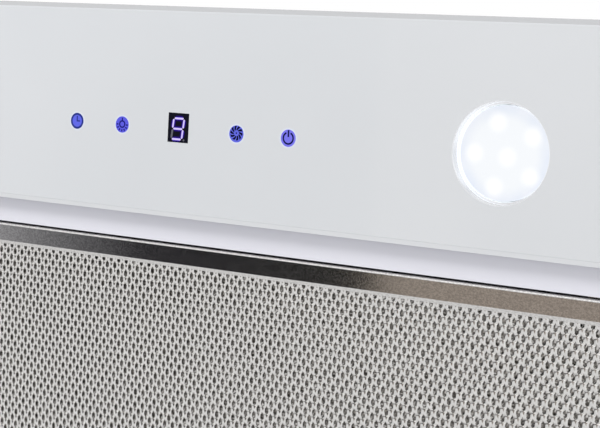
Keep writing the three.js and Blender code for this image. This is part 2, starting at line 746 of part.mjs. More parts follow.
function makeCollar() {
  const bore = COLLAR_RADIUS - SHEET;
  const tube = turned(
    [
      [bore, -SHEET],
      [COLLAR_RADIUS + COLLAR_FLANGE, -SHEET],
      [COLLAR_RADIUS + COLLAR_FLANGE, 0],
      [COLLAR_RADIUS, 0],
      [COLLAR_RADIUS, COLLAR_HEIGHT],
      [bore, COLLAR_HEIGHT],
    ],
    48,
  );
  const holes = flangeScrews.map(([x, y]) => rodZ(SCREW_HOLE, x, y, -SHEET - 1, 1, 12));
  const pinHole = rodX(PIN_RADIUS + 0.1, -COLLAR_RADIUS - 1, COLLAR_RADIUS + 1, 0, DAMPER_Z, 16);
  return cut(tube, pinHole, ...holes);
}

// Half a disc that hangs on the damper pin by two knuckles. direction is +1 for the rear half.
function makeFlap(direction, knuckles) {
  const start = Math.asin(FLAP_INNER_EDGE / FLAP_RADIUS);
  const outline = Array.from({ length: FLAP_STEPS + 1 }, (_, i) => {
    const angle = start + ((Math.PI - 2 * start) * i) / FLAP_STEPS;
    return [FLAP_RADIUS * Math.cos(angle), direction * FLAP_RADIUS * Math.sin(angle)];
  });
  const bottom = DAMPER_Z - FLAP_THICKNESS / 2;
  const top = DAMPER_Z + FLAP_THICKNESS / 2;
  const pieces = [prismZ(outline, bottom, top)];
  for (const [x0, x1] of knuckles) {
    pieces.push(rodX(KNUCKLE_RADIUS, x0, x1, 0, DAMPER_Z, 16));
    const near = direction * FLAP_ARM_START;
    const far = direction * (FLAP_INNER_EDGE + 1);
    pieces.push(block(x0, x1, Math.min(near, far), Math.max(near, far), bottom, top));
  }
  const bores = knuckles.map(([x0, x1]) => rodX(KNUCKLE_BORE, x0 - 1, x1 + 1, 0, DAMPER_Z, 16));
  return cut(join(...pieces), ...bores);
}

const REAR_KNUCKLES = [
  [-50, -38],
  [24, 36],
];
const FRONT_KNUCKLES = REAR_KNUCKLES.map(([x0, x1]) => [-x1, -x0]);

addNode(outlet, "outlet_box", "zinc", makeOutletBox());
addNode(outlet, "outlet_collar", "zinc", makeCollar());
const pinHalf = COLLAR_RADIUS + 1.5;
addNode(outlet, "damper_pin", "steel", rodX(PIN_RADIUS, -pinHalf, pinHalf, 0, DAMPER_Z, 16));
addNode(outlet, "damper_flap_rear", "aluminium", makeFlap(1, REAR_KNUCKLES));
addNode(outlet, "damper_flap_front", "aluminium", makeFlap(-1, FRONT_KNUCKLES));
flangeScrews.forEach(([x, y], i) => {
  addNode(outlet, `collar_screw_${i + 1}`, "zinc", makeScrew(x, y, 0, 6));
});

// ---------------------------------------------------------------- electrics
const BOX_WALL = 1.5;
const BOSS = { radius: 5, depth: 12 };
const LID_SCREW_INSET = 6;
const BOARD = { inset: 12, top: -16, thickness: 1.6 };
const TERMINAL_BLOCK = { x0: 214, x1: 256, y0: 100, y1: 126, bottom: -30 };
const CAPACITOR = { radius: 12, x0: 120, x1: 172, y: 62, z: -31 };

const lidScrews = [
  [CONTROL_BOX.x0 + LID_SCREW_INSET, CONTROL_BOX.y1 - LID_SCREW_INSET],
  [CONTROL_BOX.x1 - LID_SCREW_INSET, CONTROL_BOX.y0 + LID_SCREW_INSET],
];

function makeControlBox() {
  const { x0, x1, y0, y1, z0, z1 } = CONTROL_BOX;
  const outside = block(x0, x1, y0, y1, z0, z1);
  const inside = block(x0 + BOX_WALL, x1 - BOX_WALL, y0 + BOX_WALL, y1 - BOX_WALL, z0 - 1, z1 - BOX_WALL);
  const bosses = lidScrews.map(([x, y]) => rodZ(BOSS.radius, x, y, z0, z1 - BOX_WALL / 2, 12));
  const holes = lidScrews.map(([x, y]) => rodZ(SCREW_HOLE, x, y, z0 - 1, z0 + BOSS.depth, 12));
  holes.push(rodZ(GLAND_HOLE, GLAND.x, GLAND.y, z1 - BOX_WALL - 1, z1 + 1));
  return cut(join(cut(outside, inside), ...bosses), ...holes);
}

function makeControlBoxLid() {
  const { x0, x1, y0, y1, z0 } = CONTROL_BOX;
  const top = z0 - GAP;
  const holes = lidScrews.map(([x, y]) => rodZ(SCREW_HOLE, x, y, top - BOX_WALL - 1, top + 1, 12));
  return cut(block(x0, x1, y0, y1, top - BOX_WALL, top), ...holes);
}

// The gland that a supply cable would pass down through, open all the way.
function makeGland() {
  const { bottom, collarTop, top } = GLAND_LEVELS;
  const profile = [
    [GLAND.bore, bottom],
    [GLAND.neck, bottom],
    [GLAND.neck, -SHEET],
    [GLAND.collar, -SHEET],
    [GLAND.collar, collarTop],
    [GLAND.shoulder, collarTop],
    [GLAND.tip, top],
    [GLAND.bore, top],
  ];
  return turned(profile, 24).translate(GLAND.x, GLAND.y, 0);
}

// A lid screw points up, so it is a turned-over pan head screw.
function makeLidScrew(x, y) {
  const face = CONTROL_BOX.z0 - GAP - BOX_WALL;
  return makeScrew(0, 0, 0, 10).rotateX(Math.PI).translate(x, y, face);
}

function makeMainBoard() {
  const { x0, x1, y0, y1 } = CONTROL_BOX;
  const { inset, top, thickness } = BOARD;
  return block(x0 + inset, x1 - inset, y0 + inset, y1 - inset, top - thickness, top);
}

function makeTerminalBlock() {
  const { x0, x1, y0, y1, bottom } = TERMINAL_BLOCK;
  return block(x0, x1, y0, y1, bottom, BOARD.top - BOARD.thickness - GAP);
}

function makeCapacitor() {
  const { radius, x0, x1, y, z } = CAPACITOR;
  return rodX(radius, x0, x1, y, z, 24);
}

addNode(hood, "control_box", "greyPlastic", makeControlBox());
addNode(hood, "control_box_lid", "greyPlastic", makeControlBoxLid());
addNode(hood, "main_board", "board", makeMainBoard());
addNode(hood, "terminal_block", "blackPlastic", makeTerminalBlock());
addNode(hood, "capacitor", "blackPlastic", makeCapacitor());
addNode(hood, "cable_gland", "greyPlastic", makeGland());
lidScrews.forEach(([x, y], i) => {
  addNode(hood, `lid_screw_${i + 1}`, "zinc", makeLidScrew(x, y));
});

// Cables between the controls, lamps, motor and control box, each held at both ends.
const CABLE_RADIUS = 2;
const CABLE_START = 1;
const CABLE_STEPS = 20;
const BOX_FRONT = CONTROL_BOX.y0 - CABLE_START;
const MOTOR_CABLE_Z = -4.2;
const CABLE_ROUTES = {
  controls_cable: [
    onSlope(50, 47, COVER.end + CABLE_START),
    onSlope(50, 47, COVER.end + 5),
    [80, -55, -27],
    [118, -8, -28],
    [134, 16, -30],
    [136, BOX_FRONT, -30],
  ],
  lamp_cable_right: [
    onSlope(LAMP_X, LAMP_ROW, CUP_END + CABLE_START),
    onSlope(LAMP_X, LAMP_ROW, CUP_END + 6),
    [156, -50, -30],
    [164, 0, -28],
    [166, BOX_FRONT, -28],
  ],
  lamp_cable_left: [
    onSlope(-LAMP_X, LAMP_ROW, CUP_END + CABLE_START),
    onSlope(-LAMP_X, LAMP_ROW, CUP_END + 6),
    [-120, -60, -18],
    [-40, -40, -16],
    [50, -30, -16],
    [102, 4, -18],
    [112, BOX_FRONT, -18],
  ],
  motor_cable: [
    [BLOWER.x + CABLE_HOLE.x, BLOWER.y + CABLE_HOLE.y, MOTOR_TOP + CABLE_START],
    [BLOWER.x + CABLE_HOLE.x + 0.8, BLOWER.y + CABLE_HOLE.y - 0.8, MOTOR_TOP + 3],
    [BLOWER.x + CABLE_HOLE.x + 6, BLOWER.y + CABLE_HOLE.y - 6, MOTOR_CABLE_Z],
    [-88, 2, MOTOR_CABLE_Z],
    [0, -4, MOTOR_CABLE_Z],
    [62, -3, MOTOR_CABLE_Z - 1],
    [96, 7, MOTOR_CABLE_Z - 3],
    [105, 20, MOTOR_CABLE_Z - 4],
    [106, BOX_FRONT, MOTOR_CABLE_Z - 4],
  ],
};

for (const [name, route] of Object.entries(CABLE_ROUTES)) {
  addNode(hood, name, "cable", cable(route, CABLE_RADIUS, CABLE_STEPS));
}

export default hood;
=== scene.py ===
"""Looks of an under cabinet range hood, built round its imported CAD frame. Metres, +Z up, front at -Y.

The underside slopes down towards the wall. Its pieces are made in slope coordinates: x to the right,
along rearwards down the slope from the front edge, and inwards up into the hood.
"""

import json
import math

import bmesh
import bpy
import numpy as np
from mathutils import Matrix, Vector


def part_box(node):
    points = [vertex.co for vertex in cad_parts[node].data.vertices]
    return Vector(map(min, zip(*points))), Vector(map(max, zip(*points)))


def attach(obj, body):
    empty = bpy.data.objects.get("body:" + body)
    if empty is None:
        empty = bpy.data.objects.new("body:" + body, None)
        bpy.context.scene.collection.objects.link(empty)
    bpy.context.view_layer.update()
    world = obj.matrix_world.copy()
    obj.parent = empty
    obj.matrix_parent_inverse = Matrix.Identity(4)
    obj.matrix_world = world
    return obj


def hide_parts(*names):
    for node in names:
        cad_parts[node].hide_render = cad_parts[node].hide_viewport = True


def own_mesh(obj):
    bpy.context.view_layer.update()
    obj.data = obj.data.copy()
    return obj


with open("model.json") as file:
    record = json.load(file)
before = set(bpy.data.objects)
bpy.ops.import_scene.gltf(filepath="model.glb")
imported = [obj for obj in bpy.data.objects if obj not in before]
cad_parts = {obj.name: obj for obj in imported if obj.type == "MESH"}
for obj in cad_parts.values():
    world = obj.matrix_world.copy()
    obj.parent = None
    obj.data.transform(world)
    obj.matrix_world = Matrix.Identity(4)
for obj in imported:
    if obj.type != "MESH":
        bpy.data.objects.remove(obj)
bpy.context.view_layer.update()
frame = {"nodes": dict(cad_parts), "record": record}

MM = 0.001
SLOPE = math.radians(22)

# The slope's own frame: its origin is the lower front edge, read from a side panel.
side_low, side_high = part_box("side_panel_left")
slope_top = side_low.z + (side_high.y - side_low.y) * math.tan(SLOPE)
SLOPE_FRAME = Matrix.Translation((0, side_low.y, slope_top)) @ Matrix.Rotation(-SLOPE, 4, "X")

# ---------------------------------------------------------------- driving sizes, in millimetres
GLASS_OUTER = -5.8
GLASS_REAR = 87.1
GLASS_ROUNDING = 0.22
LAMP_X = 153.0
LAMP_ROW = 47.0
LAMP_HOLE = 20.25
LENS_RADIUS = 19.0
LENS_OUTER = -1.8
DISPLAY_ROW = 47.2
KEY_ROW = 47.8
KEYS = {"timer": -56.8, "light": -30.9, "fan": 30.6, "power": 56.7}
FILTER_HALF = 270.0
FILTER_FRONT = 99.8
FILTER_REAR = 284.8
FILTER_HEIGHT = 9.5
POCKET = {"half": 22.6, "front": 245.4, "rear": 284.0}


def on_slope(x, along, inwards):
    """A point of the slope, given in millimetres, in metres in the hood's frame."""
    return SLOPE_FRAME @ Vector((x * MM, along * MM, inwards * MM))


def add_object(name, data):
    """Puts a mesh, lamp or camera into the scene."""
    made = bpy.data.objects.new(name, data)
    bpy.context.scene.collection.objects.link(made)
    return made


# ---------------------------------------------------------------- camera, light and stage
CAMERA_LENS = 89.1
CAMERA_DISTANCE = 625.5
CAMERA_AIM = (64.5, 79.2, GLASS_OUTER)
CAMERA_AWAY = Vector((0.5019, -0.0956, -0.8596))
CAMERA_UP = Vector((-0.0964, -0.9939, 0.0542))
CAMERA_CLIP = (0.01, 50)


def make_camera():
    data = bpy.data.cameras.new("camera")
    data.lens = CAMERA_LENS
    data.clip_start, data.clip_end = CAMERA_CLIP
    camera = add_object("camera", data)
    turn = SLOPE_FRAME.to_3x3()
    away = (turn @ CAMERA_AWAY).normalized()
    right = (turn @ CAMERA_UP).cross(away).normalized()
    up = away.cross(right)
    place = Matrix((right, up, away)).transposed().to_4x4()
    place.translation = on_slope(*CAMERA_AIM) + away * CAMERA_DISTANCE * MM
    camera.matrix_world = place
    bpy.context.scene.camera = camera


# How bright the studio is to each kind of ray: its middle, and how it changes along X, Y and Z.
SOFT_LIGHT = (0.84, (0.0, -0.62, 0.0))
REFLECTED_LIGHT = (0.9, (0.28, -0.4, -0.72))


def make_world():
    """A white studio. It is white to the camera, and its light comes more from the cook's side."""
    world = bpy.data.worlds.new("studio")
    world.use_nodes = True
    nodes, links = world.node_tree.nodes, world.node_tree.links
    background = nodes["Background"]
    background.inputs["Color"].default_value = (1, 1, 1, 1)
    direction = nodes.new("ShaderNodeTexCoord").outputs["Generated"]
    rays = nodes.new("ShaderNodeLightPath")

    def strength(middle, change):
        turned = nodes.new("ShaderNodeVectorMath")
        turned.operation = "DOT_PRODUCT"
        turned.inputs[1].default_value = change
        links.new(direction, turned.inputs[0])
        total = nodes.new("ShaderNodeMath")
        total.inputs[1].default_value = middle
        links.new(turned.outputs["Value"], total.inputs[0])
        return total.outputs["Value"]

    def choose(ray, other, chosen):
        choice = nodes.new("ShaderNodeMix")
        links.new(rays.outputs[ray], choice.inputs["Factor"])
        links.new(other, choice.inputs["A"])
        if chosen is not None:
            links.new(chosen, choice.inputs["B"])
        else:
            choice.inputs["B"].default_value = 1.0
        return choice.outputs["Result"]

    light = choose("Is Glossy Ray", strength(*SOFT_LIGHT), strength(*REFLECTED_LIGHT))
    links.new(choose("Is Camera Ray", light, None), background.inputs["Strength"])
    bpy.context.scene.world = world


# The low lamp: its size in metres, its power, and its place from the glass panel's rear edge in
# slope millimetres.
LOW_LIGHT = {"size": 0.7, "watts": 13, "x": -200, "ahead": 1260, "below": 760}


def make_low_light():
    """A soft lamp low in front, which the glass panel's rear edge shades the tray from."""
    data = bpy.data.lights.new("low_light", "AREA")
    data.shape = "DISK"
    data.size = LOW_LIGHT["size"]
    data.energy = LOW_LIGHT["watts"]
    light = add_object("low_light", data)
    aim = on_slope(0, GLASS_REAR, 0)
    place = on_slope(LOW_LIGHT["x"], GLASS_REAR - LOW_LIGHT["ahead"], -LOW_LIGHT["below"])
    light.location = place
    light.rotation_euler = (aim - place).to_track_quat("-Z", "Y").to_euler()
    light.visible_glossy = False


# ---------------------------------------------------------------- finishes
# A noise mostly stays between these values.
NOISE_SPAN = (0.3, 0.7)


def is_socket(value):
    return hasattr(value, "is_output")


class Finish:
    """A material with a Principled shader, and short ways to add its patterns."""

    def __init__(self, name, colour, roughness=0.5, metallic=0.0, **sockets):
        self.material = bpy.data.materials.new(name)
        self.material.use_nodes = True
        self.tree = self.material.node_tree
        self.shader = self.tree.nodes["Principled BSDF"]
        self.colour = (*colour, 1.0)
        self.set("Base Color", self.colour)
        self.set("Roughness", roughness)
        self.set("Metallic", metallic)
        for socket, value in sockets.items():
            self.set(socket.replace("_", " "), value)
        self.place = self.node("ShaderNodeTexCoord").outputs["Object"]

    def set(self, socket, value):
        self.shader.inputs[socket].default_value = value

    def node(self, kind, **settings):
        made = self.tree.nodes.new(kind)
        for key, value in settings.items():
            setattr(made, key, value)
        return made

    def link(self, source, target):
        self.tree.links.new(source, target)

    def use_slope(self):
        """Patterns are laid out in slope coordinates from here on."""
        mapping = self.node("ShaderNodeMapping", vector_type="TEXTURE")
        mapping.inputs["Location"].default_value = SLOPE_FRAME.translation
        mapping.inputs["Rotation"].default_value = (-SLOPE, 0, 0)
        self.link(self.place, mapping.inputs["Vector"])
        self.place = mapping.outputs["Vector"]

    def stretched(self, turn=(0, 0, 0), scale=(1, 1, 1)):
        """The object's coordinates, turned and then scaled."""
        mapping = self.node("ShaderNodeMapping", vector_type="TEXTURE")
        mapping.inputs["Rotation"].default_value = turn
        mapping.inputs["Scale"].default_value = [1 / s for s in scale]
        self.link(self.place, mapping.inputs["Vector"])
        return mapping.outputs["Vector"]

    def part_of_place(self, axis):
        parts = self.node("ShaderNodeSeparateXYZ")
        self.link(self.place, parts.inputs["Vector"])
        return parts.outputs[axis]

    def noise(self, scale, detail=2.0, place=None):
        made = self.node("ShaderNodeTexNoise")
        made.inputs["Scale"].default_value = scale
        made.inputs["Detail"].default_value = detail
        self.link(place or self.place, made.inputs["Vector"])
        return made.outputs["Fac"]

    def cells(self, scale, place=None, output="Distance"):
        made = self.node("ShaderNodeTexVoronoi")
        made.inputs["Scale"].default_value = scale
        self.link(place or self.place, made.inputs["Vector"])
        return made.outputs[output]

    def spread(self, value, low, high, to_low=0.0, to_high=1.0, smooth=False):
        made = self.node("ShaderNodeMapRange")
        made.interpolation_type = "SMOOTHSTEP" if smooth else "LINEAR"
        for key, number in zip(("From Min", "From Max", "To Min", "To Max"), (low, high, to_low, to_high)):
            made.inputs[key].default_value = number
        self.link(value, made.inputs["Value"])
        return made.outputs["Result"]

    def calculate(self, operation, first, second):
        made = self.node("ShaderNodeMath", operation=operation)
        self.link(first, made.inputs[0])
        self.link(second, made.inputs[1])
        return made.outputs["Value"]

    def mix(self, factor, first, second, blend="MIX"):
        """The second colour blended into the first. Each value is a socket or a plain one."""
        made = self.node("ShaderNodeMix", data_type="RGBA", blend_type=blend)
        if is_socket(factor):
            self.link(factor, made.inputs["Factor"])
        else:
            made.inputs["Factor"].default_value = factor
        for key, value in (("A", first), ("B", second)):
            socket = [s for s in made.inputs if s.name == key and s.type == "RGBA"][0]
            if is_socket(value):
                self.link(value, socket)
            else:
                socket.default_value = (*value, 1.0)
        return [s for s in made.outputs if s.type == "RGBA"][0]

    def cover(self, colour):
        self.link(colour, self.shader.inputs["Base Color"])

    def tint(self, factor, first, second):
        """The base colour runs from first to second with the factor."""
        self.cover(self.mix(factor, first, second))

    def shine(self, colour, strength=1.0):
        """The surface gives off light of its own."""
        self.link(colour, self.shader.inputs["Emission Color"])
        self.set("Emission Strength", strength)

    def roughen(self, factor, low, high):
        self.link(self.spread(factor, *NOISE_SPAN, low, high), self.shader.inputs["Roughness"])

    def bump(self, height, strength, depth):
        """Relief of the given depth in metres."""
        made = self.node("ShaderNodeBump")
        made.inputs["Strength"].default_value = strength
        made.inputs["Distance"].default_value = depth
        self.link(height, made.inputs["Height"])
        self.link(made.outputs["Normal"], self.shader.inputs["Normal"])


def shades(colour, amount):
    """A colour a little darker and a little lighter than the given one."""
    return [c * (1 - amount) for c in colour], [min(1.0, c * (1 + amount)) for c in colour]


def plain_noise_finish(name, colour, roughness, metallic, scale, depth, amount=0.05, **sockets):
    finish = Finish(name, colour, roughness, metallic, **sockets)
    grain = finish.noise(scale, 3.0)
    finish.tint(finish.spread(grain, *NOISE_SPAN), *shades(colour, amount))
    finish.bump(grain, 0.4, depth)
    return finish


def paint_finish():
    """Powder coat: lavender white, with a fine orange peel."""
    finish = Finish("powder_coat", (0.76, 0.76, 0.82), 0.42, Coat_Weight=0.15, Coat_Roughness=0.3)
    finish.tint(finish.noise(14, 2.0), (0.748, 0.748, 0.808), (0.772, 0.772, 0.832))
    finish.bump(finish.noise(900, 2.0), 0.25, 0.00004)
    return finish


def brushed_finish(name, colour, roughness, grain_amount, lines=(12, 900, 900), depth=0.00003, soft=0.2):
    """Steel with fine short marks along X, in the slope's own directions."""
    finish = Finish(name, colour, roughness, 1.0)
    marks = finish.noise(1.0, 3.0, finish.stretched((-SLOPE, 0, 0), lines))
    finish.tint(finish.spread(marks, 0.5 - soft, 0.5 + soft), *shades(colour, grain_amount))
    finish.roughen(marks, roughness * 0.8, roughness * 1.25)
    finish.bump(marks, 0.3, depth)
    return finish


def galvanised_finish():
    """Zinc-coated sheet with its spangle."""
    colour = (0.55, 0.57, 0.60)
    finish = Finish("galvanised_sheet", colour, 0.42, 1.0)
    crystals = finish.cells(95, output="Color")
    frost = finish.noise(420, 3.0)
    finish.tint(crystals, *shades(colour, 0.16))
    finish.roughen(crystals, 0.34, 0.5)
    finish.bump(frost, 0.2, 0.00003)
    return finish


def board_finish():
    """Green solder mask over copper tracks."""
    finish = Finish("solder_mask", (0.03, 0.16, 0.07), 0.35, Coat_Weight=0.3)
    tracks = finish.node("ShaderNodeTexBrick")
    tracks.inputs["Scale"].default_value = 110
    tracks.inputs["Mortar Size"].default_value = 0.025
    tracks.inputs["Color1"].default_value = (0.028, 0.15, 0.065, 1)
    tracks.inputs["Color2"].default_value = (0.034, 0.18, 0.08, 1)
    tracks.inputs["Mortar"].default_value = (0.06, 0.26, 0.12, 1)
    finish.link(finish.place, tracks.inputs["Vector"])
    finish.cover(tracks.outputs["Color"])
    return finish


def foam_finish():
    finish = Finish("closed_cell_foam", (0.035, 0.035, 0.038), 0.9)
    finish.bump(finish.cells(1500), 0.6, 0.0002)
    finish.tint(finish.noise(600), (0.025, 0.025, 0.028), (0.05, 0.05, 0.055))
    return finish


def glow_near(finish, points, near, far):
    """Runs from 1 within near of any [x, along] point of the slope to 0 beyond far, in millimetres."""
    flat = finish.node("ShaderNodeVectorMath", operation="MULTIPLY")
    flat.inputs[1].default_value = (1, 1, 0)
    finish.link(finish.place, flat.inputs[0])
    total = None
    for x, along in points:
        away = finish.node("ShaderNodeVectorMath", operation="DISTANCE")
        finish.link(flat.outputs["Vector"], away.inputs[0])
        away.inputs[1].default_value = (x * MM, along * MM, 0)
        part = finish.spread(away.outputs["Value"], near * MM, far * MM, 1.0, 0.0, smooth=True)
        total = part if total is None else finish.calculate("MAXIMUM", total, part)
    return total


def facing(finish, direction, low, high):
    """Runs from 0 to 1 as the surface turns towards a direction of the hood's frame."""
    turned = finish.node("ShaderNodeVectorMath", operation="DOT_PRODUCT")
    turned.inputs[1].default_value = direction
    finish.link(finish.node("ShaderNodeNewGeometry").outputs["Normal"], turned.inputs[0])
    return finish.spread(turned.outputs["Value"], low, high, smooth=True)


# The glass panel's long edges: a direction, and the cosines to it where the front edge's painted shade and
# the rear edge's painted highlight and glow start and are full.
FRONT_EDGE = ((0, -1, 0), 0.5, 0.75)
REAR_EDGE = ((0, 1, 0), -0.1, 0.3)
# How far the glass's painted glow reaches, in millimetres: round a key's middle, and beyond a lamp hole's
# edge.
KEY_GLOW = (3.6, 4.9)
HOLE_GLOW = (0.05, 0.5)
DARK = (0, 0, 0)


def glass_finish():
    """White back-painted glass. Painted shade darkens its front edge and a painted highlight lightens its
    rear edge; its keys, its rear edge and the edges of its lamp holes have a little painted glow.
    """
    finish = Finish("white_glass", (0.76, 0.78, 0.79), 0.3, Coat_Weight=1.0, Coat_Roughness=0.03)
    finish.set("Coat IOR", 1.5)
    finish.use_slope()
    haze = finish.noise(9, 2.0)
    face = finish.mix(finish.spread(haze, *NOISE_SPAN), (0.650, 0.668, 0.688), (0.672, 0.688, 0.706))
    # Painted highlight: the rear edge is painted lighter.
    rear = finish.mix(facing(finish, *REAR_EDGE), face, (0.84, 0.85, 0.87))
    # Painted shade: the front edge is painted darker.
    finish.tint(facing(finish, *FRONT_EDGE), rear, (0.37, 0.375, 0.385))
    # Painted glow round each key.
    keys = [(x, KEY_ROW) for x in KEYS.values()]
    blue = finish.mix(glow_near(finish, keys, *KEY_GLOW), DARK, (0.05, 0.07, 0.16))
    # Painted glow at the edges of the lamp holes.
    lamps = [(-LAMP_X, LAMP_ROW), (LAMP_X, LAMP_ROW)]
    near, far = (LAMP_HOLE + beyond for beyond in HOLE_GLOW)
    pale = finish.mix(glow_near(finish, lamps, near, far), DARK, (0.14, 0.14, 0.14))
    # Painted glow on the rear edge, added to the painted glow at the lamp holes.
    painted_edge_glow = finish.mix(facing(finish, *REAR_EDGE), pale, (0.2, 0.205, 0.21))
    finish.shine(finish.mix(1.0, blue, painted_edge_glow, "ADD"))
    return finish


def lit_finish(name, colour, strength=1.0, speck=0.05, scale=900, base=0.002):
    """A printed or moulded part lit from behind, with a slight unevenness."""
    finish = Finish(name, (base, base, base * 1.2), 0.35, Specular_IOR_Level=0.0)
    low, high = shades(colour, speck)
    finish.shine(finish.mix(finish.noise(scale), low, high), strength)
    return finish


FINISHES = {
    "paint": paint_finish(),
    "foam": foam_finish(),
    "lamp_metal": plain_noise_finish("satin_aluminium", (0.80, 0.81, 0.82), 0.3, 1.0, 700, 0.00002),
    "circuit_board": board_finish(),
    "display": plain_noise_finish("display_black", (0.012, 0.012, 0.02), 0.25, 0.0, 500, 0.00001, 0.2),
    "key_light": lit_finish("key_guide_light", (0.13, 0.13, 0.8), 0.8),
    "black_plastic": plain_noise_finish("black_plastic", (0.028, 0.028, 0.03), 0.5, 0.0, 1400, 0.00006, 0.2),
    "filter_steel": brushed_finish(
        "filter_steel", (0.80, 0.785, 0.765), 0.11, 0.16, (1200, 1600, 1600), 0.00005, 0.14
    ),
    "grey_plastic": plain_noise_finish("grey_plastic", (0.24, 0.245, 0.255), 0.5, 0.0, 1500, 0.00006, 0.08),
    "bright_steel": brushed_finish("bright_steel", (0.72, 0.72, 0.73), 0.16, 0.06, (1200, 200, 200)),
    "galvanised": galvanised_finish(),
    "screw_steel": plain_noise_finish("zinc_screw", (0.62, 0.62, 0.63), 0.3, 1.0, 900, 0.00003, 0.1),
    "motor_metal": plain_noise_finish("motor_enamel", (0.03, 0.033, 0.04), 0.4, 0.2, 800, 0.00005, 0.15),
    "damper_metal": brushed_finish("damper_aluminium", (0.72, 0.73, 0.74), 0.3, 0.08, (30, 1200, 1200)),
    "cable_sheath": plain_noise_finish("cable_sheath", (0.02, 0.02, 0.022), 0.6, 0.0, 1200, 0.00005, 0.2),
}
BODY_OF = {node: body for body, nodes in frame["record"]["behaviour"]["bodies"].items() for node in nodes}
SLOT_OF = {part["node"]: part["material_slot"] for part in frame["record"]["subparts"]}


# ---------------------------------------------------------------- pieces
# Edges of cut pieces that turn by more than this, in degrees, stay sharp.
CREASE_ANGLE = 32


def shade_smooth(mesh, degrees):
    """Smooth shading, but edges that turn by more than the given angle stay sharp."""
    mesh.polygons.foreach_set("use_smooth", [True] * len(mesh.polygons))
    mesh.set_sharp_from_angle(angle=math.radians(degrees))


def add_piece(name, mesh, body, finish, replaced=(), smooth=None):
    """Makes an object of a mesh with its finish, parents it to the body it rides on, and hides the CAD nodes
    it stands for.
    """
    piece = add_object(name, mesh)
    mesh.materials.clear()
    mesh.materials.append(finish.material)
    if smooth is not None:
        shade_smooth(mesh, smooth)
    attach(piece, body)
    if replaced:
        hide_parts(*replaced)
    return piece


def mesh_of(name, vertices, faces):
    mesh = bpy.data.meshes.new(name)
    mesh.from_pydata([tuple(v) for v in vertices], [], faces)
    mesh.validate()
    mesh.update()
    return mesh


def builder_of(mesh):
    builder = bmesh.new()
    builder.from_mesh(mesh)
    return builder


def weld(builder, distance=1e-6):
    bmesh.ops.remove_doubles(builder, verts=builder.verts, dist=distance)


def quads_between(rings, size, closed=True):
    """Quads from each ring of size points to the next, and from the last to the first where closed."""
    quads = []
    for i in range(rings if closed else rings - 1):
        j = (i + 1) % rings
        for k in range(size):
            n = (k + 1) % size
            quads.append((i * size + k, j * size + k, j * size + n, i * size + n))
    return quads


def to_mesh(builder, name):
    bmesh.ops.recalc_face_normals(builder, faces=builder.faces)
    mesh = bpy.data.meshes.new(name)
    builder.to_mesh(mesh)
    builder.free()
    return mesh


def sloped(piece_mesh):
    """Moves a mesh made in slope millimetres to its place in the hood's frame."""
    piece_mesh.transform(SLOPE_FRAME @ Matrix.Scale(MM, 4))
    return piece_mesh


def refined_mesh(node, width, segments=2, angle=25):
    """The CAD node's mesh with its sharp edges rounded over."""
    builder = builder_of(frame["nodes"][node].data)
    weld(builder)
    flat = math.radians(0.5)
    bmesh.ops.dissolve_limit(builder, angle_limit=flat, verts=builder.verts, edges=builder.edges)
    sharp = [
        edge
        for edge in builder.edges
        if len(edge.link_faces) == 2 and edge.calc_face_angle(0.0) > math.radians(angle)
    ]
    bmesh.ops.bevel(
        builder,
        geom=sharp,
        offset=width * MM,
        offset_type="OFFSET",
        segments=segments,
        profile=0.5,
        affect="EDGES",
        clamp_overlap=True,
    )
    return to_mesh(builder, node + "_shell")


def refine(node, width, segments=2, finish=None):
    """Stands in for a CAD node, with its edges rounded by the given width in millimetres."""
    slot = SLOT_OF[node]
    mesh = refined_mesh(node, width, segments)
    finish = finish or FINISHES[slot]
    piece = add_piece(node + "_shell", mesh, BODY_OF[node], finish, [node], smooth=40)
    normals = piece.modifiers.new("normals", "WEIGHTED_NORMAL")
    normals.keep_sharp = True
    return piece


# ---------------------------------------------------------------- glass panel and its prints
# Prints stand out by one step for each layer, and reach a little into the glass, in millimetres.
PRINT_STEP = 0.02
PRINT_ROOT = 0.05
ALMOST_WHOLE_TURN = 2 * math.pi - 1e-6


def circle(x, y, radius, count=48, start=0.0, end=2 * math.pi):
    """Points round an arc, in the print's own right and up directions."""
    steps = count if end - start > ALMOST_WHOLE_TURN else count - 1
    turns = [start + (end - start) * i / steps for i in range(count)]
    return [(x + radius * math.cos(turn), y + radius * math.sin(turn)) for turn in turns]


def band(outer, inner):
    """Outline of an open band: out along one arc and back along the other."""
    return list(outer) + list(reversed(inner))


def print_mesh(name, outlines, centre, level):
    """Thin raised prints on the glass. An outline is a list of (right, up) millimetres from the centre."""
    builder = bmesh.new()
    x, along = centre
    top = GLASS_OUTER - PRINT_STEP * (level + 1)
    for outline in outlines:
        lower = [builder.verts.new((x + u, along - v, GLASS_OUTER + PRINT_ROOT)) for u, v in outline]
        upper = [builder.verts.new((x + u, along - v, top)) for u, v in outline]
        builder.faces.new(lower)
        builder.faces.new(upper[::-1])
        for i in range(len(outline)):
            j = (i + 1) % len(outline)
            builder.faces.new((lower[i], upper[i], upper[j], lower[j]))
    return sloped(to_mesh(builder, name))


def ring_outlines(x, y, outer, inner, start=0.0, end=2 * math.pi):
    """A ring as two half bands, or an open arc as one band."""
    if end - start < ALMOST_WHOLE_TURN:
        return [band(circle(x, y, outer, 40, start, end), circle(x, y, inner, 40, start, end))]
    half = start + math.pi
    return [
        band(circle(x, y, outer, 32, start, half), circle(x, y, inner, 32, start, half)),
        band(circle(x, y, outer, 32, half, end), circle(x, y, inner, 32, half, end)),
    ]


def bar(x0, y0, x1, y1, width):
    """A straight bar from one point to another."""
    along = Vector((x1 - x0, y1 - y0)).normalized()
    side = Vector((-along.y, along.x)) * width / 2
    return [
        (x0 + side.x, y0 + side.y),
        (x0 - side.x, y0 - side.y),
        (x1 - side.x, y1 - side.y),
        (x1 + side.x, y1 + side.y),
    ]


